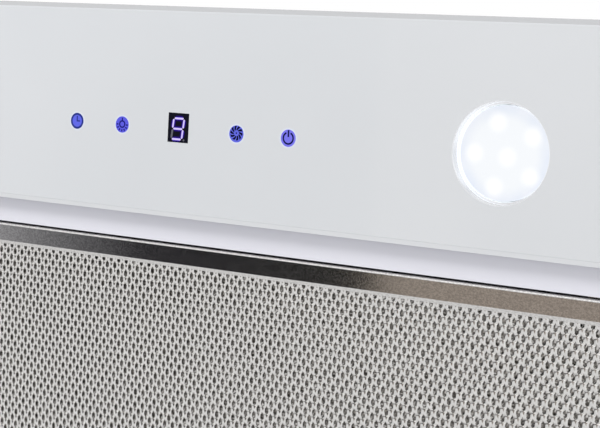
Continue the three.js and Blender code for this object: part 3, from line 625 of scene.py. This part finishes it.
def polar(radius, degrees):
    angle = math.radians(degrees)
    return radius * math.cos(angle), radius * math.sin(angle)


KEY_RADIUS = 3.68


def timer_symbol():
    rim = ring_outlines(0, 0, KEY_RADIUS, 2.72)
    hands = [bar(0, -0.25, 0, 2.3, 0.62), bar(-0.3, 0.0, 1.65, 0.0, 0.62)]
    return rim + hands


def light_symbol():
    glass = ring_outlines(0, 0.2, 1.75, 1.1)
    base = [bar(0, 1.7, 0, 3.1, 0.6)]
    rays = []
    for degrees in range(178, 359, 30):
        rays.append(bar(*polar(2.15, degrees), *polar(3.15, degrees), 0.62))
    return glass + base + rays


def fan_symbol():
    """Swept blades round a clear middle with a small hub."""
    count, lift = 10, 0.35
    blades = []
    for i in range(count):
        turn = 360 * i / count
        steps = (0, 0.33, 0.67, 1)
        leading = [polar(1.3 + 1.9 * t, turn + 24 * (1 - t)) for t in steps]
        trailing = [polar(1.3 + 1.9 * t, turn - 22 + 20 * (1 - t)) for t in reversed(steps)]
        blades.append([(x, y + lift) for x, y in leading + trailing])
    return blades + [circle(0, lift, 0.34, 16)]


def power_symbol():
    gap = math.radians(25)
    arc = ring_outlines(0, 0, 2.78, 2.05, math.pi / 2 + gap, 2.5 * math.pi - gap)
    return arc + [bar(0, 0.5, 0, 3.45, 0.75)]


# Each key: how its disc and its symbol glow, and the symbol.
KEY_PRINTS = {
    "timer": ((0.125, 0.145, 0.80), (0.026, 0.040, 0.26), timer_symbol),
    "light": ((0.115, 0.115, 0.76), (0.008, 0.009, 0.17), light_symbol),
    "fan": ((0.125, 0.145, 0.74), (0.002, 0.002, 0.014), fan_symbol),
    "power": ((0.195, 0.185, 0.84), (0.004, 0.006, 0.06), power_symbol),
}


def make_key_prints():
    for key, (disc_colour, ink_colour, symbol) in KEY_PRINTS.items():
        centre = (KEYS[key], KEY_ROW)
        disc = print_mesh(f"key_disc_{key}", [circle(0, 0, KEY_RADIUS)], centre, 0)
        add_piece(f"key_disc_{key}", disc, "hood", lit_finish(f"key_blue_{key}", disc_colour))
        ink = print_mesh(f"key_symbol_{key}", symbol(), centre, 1)
        add_piece(f"key_symbol_{key}", ink, "hood", lit_finish(f"key_ink_{key}", ink_colour))


DIGIT = {"half": 2.78, "rise": 4.6, "slant": 0.115, "shift": (-0.25, -0.5), "joint": 0.3, "point": 0.38}
DOT = circle(3.1, -5.35, 0.45, 20)
WINDOW = {"width": 11.0, "height": 13.0}


def segment(x0, y0, x1, y1, width):
    """One segment of the digit: a bar with pointed ends, slanted with the digit."""
    along = Vector((x1 - x0, y1 - y0)).normalized()
    side = Vector((-along.y, along.x)) * width / 2
    start = Vector((x0, y0)) + along * DIGIT["joint"]
    end = Vector((x1, y1)) - along * DIGIT["joint"]
    inner_start = start + along * width * DIGIT["point"]
    inner_end = end - along * width * DIGIT["point"]
    corners = [start, inner_start - side, inner_end - side, end, inner_end + side, inner_start + side]
    shift_x, shift_y = DIGIT["shift"]
    return [(p.x + DIGIT["slant"] * p.y + shift_x, p.y + shift_y) for p in corners]


def digit_outlines(lit, width):
    half, rise = DIGIT["half"], DIGIT["rise"]
    ends = {
        "a": (-half, rise, half, rise),
        "b": (half, rise, half, 0),
        "c": (half, 0, half, -rise),
        "d": (-half, -rise, half, -rise),
        "e": (-half, 0, -half, -rise),
        "f": (-half, rise, -half, 0),
        "g": (-half, 0, half, 0),
    }
    return [segment(*ends[name], width) for name in lit]


def make_display_prints():
    centre = (0, DISPLAY_ROW)
    half_height = WINDOW["height"] / 2
    window = bar(0, -half_height, 0, half_height, WINDOW["width"])
    lit, unlit = "abcdfg", digit_outlines("e", 0.95) + [DOT]
    # Each layer: its outlines, its level above the glass, and how it glows.
    layers = {
        "window": ([window], 0, lit_finish("display_smoke", (0.006, 0.006, 0.013), speck=0.2)),
        "glow": (digit_outlines(lit, 2.4), 1, lit_finish("display_navy", (0.014, 0.005, 0.13))),
        "halo": (digit_outlines(lit, 1.12), 2, lit_finish("display_violet", (0.16, 0.09, 0.82))),
        "digit": (digit_outlines(lit, 0.72), 3, lit_finish("display_white", (0.72, 0.62, 1.0))),
        # The unlit segment and the point give off a faint grey: a painted glow.
        "unlit": (unlit, 1, lit_finish("display_grey", (0.13, 0.13, 0.16))),
    }
    for layer, (outlines, level, finish) in layers.items():
        name = f"display_{layer}"
        add_piece(name, print_mesh(name, outlines, centre, level), "hood", finish)


# ---------------------------------------------------------------- lamps
# One LED stands in a ring of others. Both are a little off the lamp's middle: [x, along] shifts.
LED_RING = 13.4
LED_COUNT = 5
LED_MIDDLE = (1.5, 1.4)
LED_SHIFT = (0.8, 0.7)
LED_BLOOM = 5.6
LENS_THICKNESS = 2.4
LENS_DOME = 0.25
LENS_RIM = 0.5
# The lens is brighter within this radius, and bluer towards its rim.
BRIGHT_RADIUS = 12.5


def lens_finish(name, x):
    """A frosted lens, lit by a centre LED and a ring of five."""
    finish = Finish(name, (0.05, 0.05, 0.055), 0.45)
    finish.use_slope()
    chips = [(x + LED_MIDDLE[0], LAMP_ROW + LED_MIDDLE[1])]
    for i in range(LED_COUNT):
        dx, dy = polar(LED_RING, 180 + 360 * i / LED_COUNT)
        chips.append((x + LED_SHIFT[0] + dx, LAMP_ROW + LED_SHIFT[1] + dy))
    blooms = glow_near(finish, chips, 0.0, LED_BLOOM)
    middle = glow_near(finish, [(x, LAMP_ROW)], BRIGHT_RADIUS, LENS_RADIUS)
    drift = finish.spread(finish.noise(110, 1.0), 0.35, 0.65)
    edge = finish.mix(drift, (0.74, 0.79, 0.88), (0.80, 0.83, 0.89))
    field = finish.mix(middle, edge, (0.86, 0.885, 0.91))
    finish.shine(finish.mix(blooms, field, (1.0, 1.0, 1.0)))
    return finish


def lathe_mesh(name, profile, count=128):
    """A closed profile of (radius, height) points turned round the height axis, in millimetres."""
    vertices = []
    for i in range(count):
        angle = 2 * math.pi * i / count
        vertices += [(r * math.cos(angle), r * math.sin(angle), z) for r, z in profile]
    mesh = mesh_of(name, vertices, quads_between(count, len(profile)))
    builder = builder_of(mesh)
    weld(builder, 1e-5)
    loose = [f for f in builder.faces if f.calc_area() < 1e-9]
    bmesh.ops.delete(builder, geom=loose, context="FACES")
    bpy.data.meshes.remove(mesh)
    return to_mesh(builder, name)


def make_lens(name, side):
    """A lens with a rounded rim, slightly domed."""
    seat = LENS_OUTER + LENS_THICKNESS
    profile = [(0, seat), (LENS_RADIUS, seat), (LENS_RADIUS, LENS_OUTER + LENS_DOME + LENS_RIM)]
    for share in (0.985, 0.96, 0.9, 0.75, 0.5, 0.25):
        profile.append((LENS_RADIUS * share, LENS_OUTER + LENS_DOME * share**4))
    profile.append((0, LENS_OUTER))
    node = f"lamp_lens_{name}"
    mesh = lathe_mesh(node + "_frosted", profile)
    mesh.transform(Matrix.Translation((side * LAMP_X, LAMP_ROW, 0)))
    finish = lens_finish(f"frosted_lens_{name}", side * LAMP_X)
    add_piece(node + "_frosted", sloped(mesh), "hood", finish, [node], smooth=30)


# The cup's painted glow: how far beyond the lamp hole it ends, and how deep in the cup, in millimetres.
CUP_GLOW = (0.3, 1.2)
CUP_GLOW_DEPTH = (3, 6)
CUP_ROUNDING = 0.2


def make_lamp_cup(name, side):
    """Painted glow on the cup round the lens stands in for the light of its LEDs."""
    colour = (0.72, 0.73, 0.745)
    finish = Finish(f"satin_aluminium_{name}", colour, 0.3, 1.0)
    finish.use_slope()
    finish.tint(finish.spread(finish.noise(700, 3.0), *NOISE_SPAN), *shades(colour, 0.05))
    near, far = (LAMP_HOLE + beyond for beyond in CUP_GLOW)
    around = glow_near(finish, [(side * LAMP_X, LAMP_ROW)], near, far)
    shallow, deep = (depth * MM for depth in CUP_GLOW_DEPTH)
    outer = finish.spread(finish.part_of_place("Z"), shallow, deep, 1.0, 0.0)
    # Painted glow: near the lamp hole and shallow in the cup.
    finish.shine(finish.mix(finish.calculate("MULTIPLY", around, outer), DARK, (0.44, 0.46, 0.49)))
    refine(f"lamp_cup_{name}", CUP_ROUNDING, finish=finish)


# ---------------------------------------------------------------- filter frame
# Distances in from the filter's outer edge, and how far the lip rises inwards.
FRAME_SHEET = 0.8
FLAT_FROM = 1.2
FLAT_TO = 8.6
LIP_FROM = 8.65
LIP_TO = 10.35
LIP_RISE = 1.25
BACK_RAIL = 9.0
# The latch's pocket is cut from below the frame to above it.
POCKET_CUT = (-3, 14)


def frame_profile():
    """The rail's section: (distance in from the outer edge, height inwards), a folded sheet."""
    outer = [
        (0.0, FILTER_HEIGHT),
        (0.0, 1.25),
        (0.10, 0.95),
        (0.35, 0.70),
        (0.68, 0.46),
        (FLAT_FROM, 0.0),
        (FLAT_FROM + 0.1, 0.0),
        (FLAT_TO, 0.0),
        (LIP_FROM, 0.0),
        (LIP_TO, LIP_RISE),
    ]
    inner = [
        (LIP_TO - 0.5, LIP_RISE + 0.62),
        (FLAT_TO - 0.1, FRAME_SHEET),
        (FLAT_FROM, FRAME_SHEET),
        (1.05, 1.17),
        (0.86, 1.35),
        (FRAME_SHEET, 1.6),
        (FRAME_SHEET, FILTER_HEIGHT - FRAME_SHEET),
        (BACK_RAIL, FILTER_HEIGHT - FRAME_SHEET),
        (BACK_RAIL, FILTER_HEIGHT),
    ]
    return outer + inner


def make_filter_frame():
    """The section swept round the rectangle, with mitred corners."""
    middle = (FILTER_FRONT + FILTER_REAR) / 2
    half_depth = (FILTER_REAR - FILTER_FRONT) / 2
    profile = frame_profile()
    vertices = []
    for sx, sy in ((-1, -1), (1, -1), (1, 1), (-1, 1)):
        for inset, height in profile:
            vertices.append((sx * (FILTER_HALF - inset), middle + sy * (half_depth - inset), height))
    faces = quads_between(4, len(profile))
    name, steel = "filter_frame_folded", "filter_steel"
    mesh = sloped(to_mesh(builder_of(mesh_of("filter_frame_sweep", vertices, faces)), name))
    piece = add_piece(name, mesh, "filter", FINISHES[steel], ["filter_frame"])
    half = POCKET["half"]
    cutter = box_mesh("pocket_cutter", -half, half, POCKET["front"], POCKET["rear"], *POCKET_CUT)
    subtract(piece, sloped(cutter))
    shade_smooth(piece.data, CREASE_ANGLE)


def box_mesh(name, x0, x1, y0, y1, z0, z1):
    corners = [(x, y, z) for x in (x0, x1) for y in (y0, y1) for z in (z0, z1)]
    faces = [(0, 1, 3, 2), (4, 6, 7, 5), (0, 4, 5, 1), (2, 3, 7, 6), (0, 2, 6, 4), (1, 5, 7, 3)]
    return mesh_of(name, corners, faces)


def subtract(piece, tool_mesh):
    """Cuts a mesh out of a piece for good."""
    tool = add_object("cutting_tool", tool_mesh)
    cutting = piece.modifiers.new("cutting", "BOOLEAN")
    cutting.operation = "DIFFERENCE"
    cutting.solver = "EXACT"
    cutting.object = tool
    bpy.context.view_layer.update()
    evaluated = piece.evaluated_get(bpy.context.evaluated_depsgraph_get())
    result = bpy.data.meshes.new_from_object(evaluated)
    piece.modifiers.remove(cutting)
    old = piece.data
    piece.data = result
    bpy.data.meshes.remove(old)
    bpy.data.objects.remove(tool)
    bpy.data.meshes.remove(tool_mesh)


# ---------------------------------------------------------------- expanded metal
MESH_INSET = 1.6
MESH_PITCH = (4.31, 6.02)
MESH_PARTS = ("left", "middle", "right")
MESH_SEED = 7
STRAND_CORNERS = 6
# A bond reaches this share of a wave each way. The stops are where a strand bends or is halfway.
BOND = 0.14
WAVE_STOPS = (-BOND, BOND, 0.25, 0.5 - BOND, 0.5 + BOND, 0.75)
# How far a free edge is rolled over at a bond: (across the strand, inwards).
ROLLED_RIGHT = (0.62, 0.6)
ROLLED_LEFT = (0.36, 0.16)
# Halfway between bonds a strand is wider and lies deeper: (share of its width, millimetres deeper).
RISING = (1.2, 0.5)
FALLING = (1.26, 0.55)
# Where each layer lies, its strands' width, thickness and lean in degrees, where its wave starts, and
# how far it wanders.
MESH_LAYERS = {
    "outer": {"level": 2.05, "width": 1.4, "thickness": 0.7, "lean": -15, "phase": 0.5, "wander": 0.0},
    "core": {"level": 4.2, "width": 1.5, "thickness": 0.4, "lean": 20, "phase": 0.1, "wander": 0.3},
    "inner": {"level": 7.3, "width": 1.5, "thickness": 0.4, "lean": -20, "phase": 0.7, "wander": 0.3},
}
# The layers behind the outer one are painted darker: painted shade, as they lie behind it.
MESH_COLOURS_AND_PAINTED_SHADE = {"outer": (0.86, 0.845, 0.82), "core": (0.74, 0.72, 0.69), "inner": (0.74, 0.72, 0.69)}


def wave_positions(length, wave, phase):
    """Places along a strand, in waves from its start, where its zigzag bends or is halfway."""
    count = int(length / wave) + 2
    stops = [turn + stop - phase for turn in range(count) for stop in WAVE_STOPS]
    inside = [stop for stop in stops if 0 < stop < length / wave]
    return np.array([0.0, *inside, length / wave])


def strand_section(sway, width, thickness, tilt):
    """Corners of a strand's section at each place along it.

    At a bond it leans, and its free edge is rolled over. Halfway between bonds it lies flat.
    """
    half, near = width / 2, thickness / 2 * np.ones_like(sway)
    right_free, left_free = np.maximum(-sway, 0), np.maximum(sway, 0)
    right_across, right_drop = (size * right_free for size in ROLLED_RIGHT)
    left_across, left_drop = (size * left_free for size in ROLLED_LEFT)
    corners = [
        (half, -near),
        (half, near - right_drop),
        (half - right_across, near),
        (left_across - half, near),
        (-half, near - left_drop),
        (-half, -near),
    ]
    turn, lean = np.cos(tilt * np.abs(sway)), np.sin(tilt * np.abs(sway))
    return [(u * turn + v * lean, u * lean - v * turn) for u, v in corners]


def strand_length(x_middle):
    """How far a strand runs rearwards. It stops short where the latch's pocket is."""
    at_pocket = abs(x_middle) < POCKET["half"] + MESH_PITCH[0] / 2
    rear = POCKET["front"] if at_pocket else FILTER_REAR
    return (rear - MESH_INSET) - (FILTER_FRONT + MESH_INSET)


def strand_rings(x_middle, side, layer):
    """The corners of each section of one strand: an array of place, corner and coordinate.

    A strand leans by tilt about its own length. Where two meet, their leaning faces line up, so
    one strand lies deeper there and the other less deep.
    """
    across, wave = MESH_PITCH
    width, tilt = layer["width"], math.radians(layer["lean"])
    share = wave_positions(strand_length(x_middle), wave, layer["phase"])
    cycle = (share + layer["phase"] + 0.5) % 1.0 - 0.5
    ramp = (np.abs(cycle) - BOND) / (0.5 - 2 * BOND)
    sway = np.clip(1 - 2 * ramp, -1, 1) * side
    rising = np.where(cycle * side > 0, 1 - np.abs(sway), 0)
    falling = np.where(cycle * side < 0, 1 - np.abs(sway), 0)
    widths = width * (1 + (RISING[0] - 1) * rising + (FALLING[0] - 1) * falling)
    deeper = RISING[1] * rising + FALLING[1] * falling
    reach_x = (across / 2 - width * math.cos(tilt)) / 2
    reach_z = width * math.sin(tilt) / 2
    rings = np.empty((len(share), STRAND_CORNERS, 3), np.float32)
    for k, (dx, dz) in enumerate(strand_section(sway, widths, layer["thickness"], tilt)):
        rings[:, k, 0] = x_middle + sway * reach_x + dx
        rings[:, k, 1] = FILTER_FRONT + MESH_INSET + share * wave
        rings[:, k, 2] = layer["level"] - sway * reach_z + dz + deeper
    return rings


def strand_faces(count):
    """Quads along a closed strand of count rings, with its ends split into quads."""
    sides = STRAND_CORNERS
    rows = sides * np.arange(count - 1)
    quads = [
        np.stack([rows + k, rows + sides + k, rows + sides + (k + 1) % sides, rows + (k + 1) % sides], 1)
        for k in range(sides)
    ]
    last = sides * (count - 1)
    ends = [(0, 1, 2, 5), (2, 3, 4, 5)]
    ends += [(last + 5, last + 2, last + 1, last), (last + 5, last + 4, last + 3, last + 2)]
    return np.concatenate([*quads, np.array(ends)])


def expanded_metal(name, x_from, x_to, layer):
    """Expanded metal: flat strands that zigzag rearwards side by side and are joined where they meet.

    A layer may wander a little, unevenly.
    """
    half_pitch, wander = MESH_PITCH[0] / 2, layer["wander"]
    uneven = np.random.default_rng(MESH_SEED)
    vertices, faces = [], []
    total = 0
    for index in range(math.ceil(x_from / half_pitch), math.floor((x_to - 1e-6) / half_pitch) + 1):
        rings = strand_rings(index * half_pitch, 1 if index % 2 == 0 else -1, layer)
        if wander:
            rings += uneven.uniform(-wander, wander, (len(rings), 1, 3)).astype(np.float32)
        vertices.append(rings.reshape(-1, 3))
        faces.append(strand_faces(len(rings)) + total)
        total += STRAND_CORNERS * len(rings)
    return sloped(quad_mesh(name, np.concatenate(vertices), np.concatenate(faces)))


def quad_mesh(name, vertices, quads):
    mesh = bpy.data.meshes.new(name)
    mesh.vertices.add(len(vertices))
    mesh.vertices.foreach_set("co", np.ascontiguousarray(vertices, np.float32).ravel())
    mesh.loops.add(quads.size)
    mesh.loops.foreach_set("vertex_index", np.ascontiguousarray(quads, np.int32).ravel())
    mesh.polygons.add(len(quads))
    mesh.polygons.foreach_set("loop_start", np.arange(0, quads.size, 4, dtype=np.int32))
    mesh.update(calc_edges=True)
    return mesh


def mesh_finish(layer):
    """Slit and stretched aluminium, uneven in shade and shine from strand to strand."""
    name = f"expanded_aluminium_{layer}"
    # The core and inner layers' colours carry painted shade.
    finish = plain_noise_finish(name, MESH_COLOURS_AND_PAINTED_SHADE[layer], 0.2, 1.0, 600, 0.00001, 0.07)
    finish.roughen(finish.noise(250, 2.0), 0.17, 0.23)
    return finish


def make_filter_mesh():
    reach = FILTER_HALF - MESH_INSET
    edges = [-reach + 2 * reach * i / len(MESH_PARTS) for i in range(len(MESH_PARTS) + 1)]
    for layer, sizes in MESH_LAYERS.items():
        finish = mesh_finish(layer)
        node = f"filter_mesh_{layer}"
        for part, x_from, x_to in zip(MESH_PARTS, edges, edges[1:]):
            name = f"{node}_{part}"
            mesh = expanded_metal(name, x_from, x_to, sizes)
            add_piece(name, mesh, "filter", finish, [node], smooth=50)


# ---------------------------------------------------------------- the rest
def upright(mesh, x, y, z=0.0, flip=False):
    """Moves a mesh made round the height axis, in millimetres, to its place in the hood's frame."""
    if flip:
        mesh.transform(Matrix.Rotation(math.pi, 4, "X"))
    mesh.transform(Matrix.Translation((x, y, z)))
    mesh.transform(Matrix.Scale(MM, 4))
    return mesh


COLLAR = {"x": 0.0, "y": 79.0, "radius": 60.0, "sheet": 1.2, "height": 64.0, "flange": 69.4}
BEAD = {"below_top": 16, "half_height": 3, "swell": 0.7, "steps": 8}


def make_collar():
    """The outlet's collar: a flange, a tube with a swaged bead, and a curled top edge."""
    radius, sheet, height, flange = (COLLAR[size] for size in ("radius", "sheet", "height", "flange"))
    tube = radius - BEAD["swell"]
    outer = [(flange, -sheet), (flange, 0), (radius, 0), (radius - 0.35, 0.3)]
    inner = [(radius - sheet - 0.05, -sheet)]
    for k in range(BEAD["steps"] + 1):
        angle = math.pi * k / BEAD["steps"]
        swell = BEAD["swell"] * math.sin(angle)
        level = height - BEAD["below_top"] - BEAD["half_height"] * math.cos(angle)
        outer.append((tube + swell, level))
        inner.append((tube - sheet + 0.5 + swell, level))
    outer.append((tube, height - 1.6))
    inner.append((radius - sheet - 0.2, height - 1.6))
    curl = [(radius - 0.05, height - 1.1), (radius, height - 0.5)]
    curl += [(radius - 0.4, height), (radius - 1.0, height)]
    mesh = lathe_mesh("outlet_collar_rolled", outer + curl + inner[::-1], 160)
    mesh = upright(mesh, COLLAR["x"], COLLAR["y"])
    zinc = "galvanised"
    add_piece("outlet_collar_rolled", mesh, "hood", FINISHES[zinc], ["outlet_collar"], smooth=35)


HEAD_RADIUS = 3.4
HEAD_HEIGHT = 1.8
SHANK_RADIUS = 1.7
THREAD_PITCH = 0.8
# A recess is two crossed slots: half of their length and width, and their depth.
RECESS = {"long": 1.9, "narrow": 0.32, "deep": 0.9}
# Each kind of screw: the level under its head, its shank's length, and whether it goes in from below.
SCREW_SEATS = {
    "collar_screw_": (0.1, 6.1, False),
    "motor_screw_": (-7.9, 8.1, False),
    "lid_screw_": (-49.9, 10.1, True),
}


def screw_mesh(name, length):
    """A pan head on a threaded shank, its head up and seated at 0."""
    dome = ((0, 1), (0.55, 0.97), (0.85, 0.78), (1, 0.42), (1, 0))
    profile = [(HEAD_RADIUS * across, HEAD_HEIGHT * up) for across, up in dome]
    root = SHANK_RADIUS * 0.8
    profile.append((root, 0))
    for k in range(int(length / THREAD_PITCH) - 1):
        profile += [(SHANK_RADIUS, -THREAD_PITCH * (k + 0.5)), (root, -THREAD_PITCH * (k + 1))]
    profile.append((0, -length))
    return lathe_mesh(name, profile, 36)


def cut_recess(piece, x, y, top):
    """Cuts a cross recess into a screw's head."""
    sizes = RECESS["long"], RECESS["narrow"]
    for half_x, half_y in (sizes, sizes[::-1]):
        span = top - RECESS["deep"], top + RECESS["deep"]
        slot = box_mesh("recess", x - half_x, x + half_x, y - half_y, y + half_y, *span)
        slot.transform(Matrix.Scale(MM, 4))
        subtract(piece, slot)


def make_screws():
    for start, (seat, length, flip) in SCREW_SEATS.items():
        for node in [n for n in frame["nodes"] if n.startswith(start)]:
            low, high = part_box(node)
            x, y = (low.x + high.x) / 2 / MM, (low.y + high.y) / 2 / MM
            mesh = upright(screw_mesh(node + "_turned", length), x, y, seat, flip)
            piece = add_piece(node + "_turned", mesh, "hood", FINISHES["screw_steel"], [node])
            cut_recess(piece, x, y, seat - HEAD_HEIGHT if flip else seat + HEAD_HEIGHT)
            shade_smooth(piece.data, CREASE_ANGLE)


SPRING = {"front": 247.6, "rear": 261.6, "level": 4.5, "radius": 2.05, "wire": 0.33, "turns": 7.5}
SPRING_STEPS = 24
WIRE_SIDES = 8


def make_spring():
    """A wire coil, made at one length. The real coil shortens as the paddle slides towards the hinge."""
    rings, sides = int(SPRING["turns"] * SPRING_STEPS), WIRE_SIDES
    length = SPRING["rear"] - SPRING["front"] - 2 * SPRING["wire"]
    vertices = []
    for i in range(rings + 1):
        share = i / rings
        angle = 2 * math.pi * SPRING["turns"] * share
        radial = Vector((math.cos(angle), 0, math.sin(angle)))
        middle = Vector((0, SPRING["front"] + SPRING["wire"] + length * share, SPRING["level"]))
        for k in range(sides):
            turn = 2 * math.pi * k / sides
            reach = SPRING["radius"] + SPRING["wire"] * math.cos(turn)
            vertices.append(middle + radial * reach + Vector((0, SPRING["wire"] * math.sin(turn), 0)))
    faces = quads_between(rings + 1, sides, closed=False)
    faces.append(tuple(range(sides)))
    faces.append(tuple(rings * sides + k for k in reversed(range(sides))))
    name, steel = "latch_spring_coil", "bright_steel"
    mesh = sloped(to_mesh(builder_of(mesh_of("spring_wire", vertices, faces)), name))
    piece = add_piece(name, mesh, "filter", FINISHES[steel], ["latch_spring"], smooth=60)
    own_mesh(piece)


# How far each slot's CAD nodes have their edges rounded, in millimetres.
ROUNDED = {
    "paint": 0.3,
    "foam": 0.3,
    "circuit_board": 0.15,
    "display": 0.2,
    "key_light": 0.2,
    "black_plastic": 0.25,
    "filter_steel": 0.2,
    "grey_plastic": 0.35,
    "bright_steel": 0.2,
    "galvanised": 0.2,
    "motor_metal": 0.6,
    "damper_metal": 0.2,
}


def make_refined():
    for node, piece in frame["nodes"].items():
        width = ROUNDED.get(SLOT_OF[node])
        if not piece.hide_render and width:
            refine(node, width)


def make_cables():
    """The cables' sheaths, with their bends smoothed."""
    for node in [n for n in frame["nodes"] if SLOT_OF[n] == "cable_sheath"]:
        builder = builder_of(frame["nodes"][node].data)
        weld(builder)
        name, slot = node + "_sheath", "cable_sheath"
        piece = add_piece(name, to_mesh(builder, name), "hood", FINISHES[slot], [node], smooth=60)
        rounding = piece.modifiers.new("rounding", "SUBSURF")
        rounding.levels = 1
        rounding.render_levels = 1


def dress_frame_nodes():
    """Every CAD node that still shows gets the finish of its slot."""
    for node, piece in frame["nodes"].items():
        if piece.hide_render:
            continue
        finish = FINISHES.get(SLOT_OF[node])
        if finish is None:
            continue
        piece.data.materials.clear()
        piece.data.materials.append(finish.material)


# The floor's reach each way and its level, in metres.
FLOOR = {"half": 6, "level": -2.8}


def make_stage():
    half, level = FLOOR["half"], FLOOR["level"]
    corners = [(-half, -half, level), (half, -half, level), (half, half, level), (-half, half, level)]
    mesh = mesh_of("floor", corners, [(0, 1, 2, 3)])
    mesh.materials.append(Finish("pale_floor", (0.85, 0.85, 0.86), 0.7).material)
    add_object("floor", mesh)


# The card that polished steel mirrors: its reach in slope millimetres, and its colours along x.
# It fades out rearwards, so that the rail mirrors it and the filter's mesh doesn't.
CARD = {"depth": -500, "left": -1000, "right": 90, "front": -120, "fade": 225, "rear": 275}
CARD_COLOURS = (
    (-620, (0.44, 0.44, 0.46)),
    (-500, (0.17, 0.17, 0.18)),
    (-390, (0.021, 0.020, 0.024)),
    (-162, (0.023, 0.023, 0.022)),
    (-156, (0.30, 0.26, 0.225)),
    (CARD["right"], (0.31, 0.265, 0.23)),
)


def make_reflection_card():
    """What polished steel mirrors below the hood: grey to dark, then a warm brown.

    Only reflections show it.
    """
    left, right, front, rear = (CARD[side] for side in ("left", "right", "front", "rear"))
    corners = [(left, front), (right, front), (right, rear), (left, rear)]
    mesh = mesh_of("card", [(x, along, CARD["depth"]) for x, along in corners], [(0, 1, 2, 3)])
    mesh.transform(Matrix.Scale(MM, 4))
    card = add_object("reflection_card", mesh)
    card.matrix_world = SLOPE_FRAME
    finish = Finish("reflection_colours", (0, 0, 0), 1.0, Specular_IOR_Level=0.0)
    ramp = finish.node("ShaderNodeValToRGB")
    finish.link(finish.spread(finish.part_of_place("X"), left * MM, right * MM), ramp.inputs["Fac"])
    elements = ramp.color_ramp.elements
    while len(elements) < len(CARD_COLOURS):
        elements.new(0.5)
    for element, (x, colour) in zip(elements, CARD_COLOURS):
        element.position = (x - left) / (right - left)
        element.color = (*colour, 1.0)
    finish.shine(ramp.outputs["Color"])
    along = finish.part_of_place("Y")
    fade = finish.spread(along, CARD["fade"] * MM, rear * MM, 1.0, 0.0, smooth=True)
    finish.link(fade, finish.shader.inputs["Alpha"])
    mesh.materials.append(finish.material)
    card.visible_camera = False
    card.visible_diffuse = False
    card.visible_transmission = False
    card.visible_shadow = False


make_camera()
make_reflection_card()
make_world()
make_low_light()
make_stage()
bpy.context.scene.view_settings.view_transform = "Standard"
refine("glass_panel", GLASS_ROUNDING, 3, glass_finish())
make_key_prints()
make_display_prints()
for name, side in (("left", -1), ("right", 1)):
    make_lens(name, side)
    make_lamp_cup(name, side)
make_filter_frame()
make_filter_mesh()
make_collar()
make_screws()
make_spring()
make_cables()
make_refined()
dress_frame_nodes()
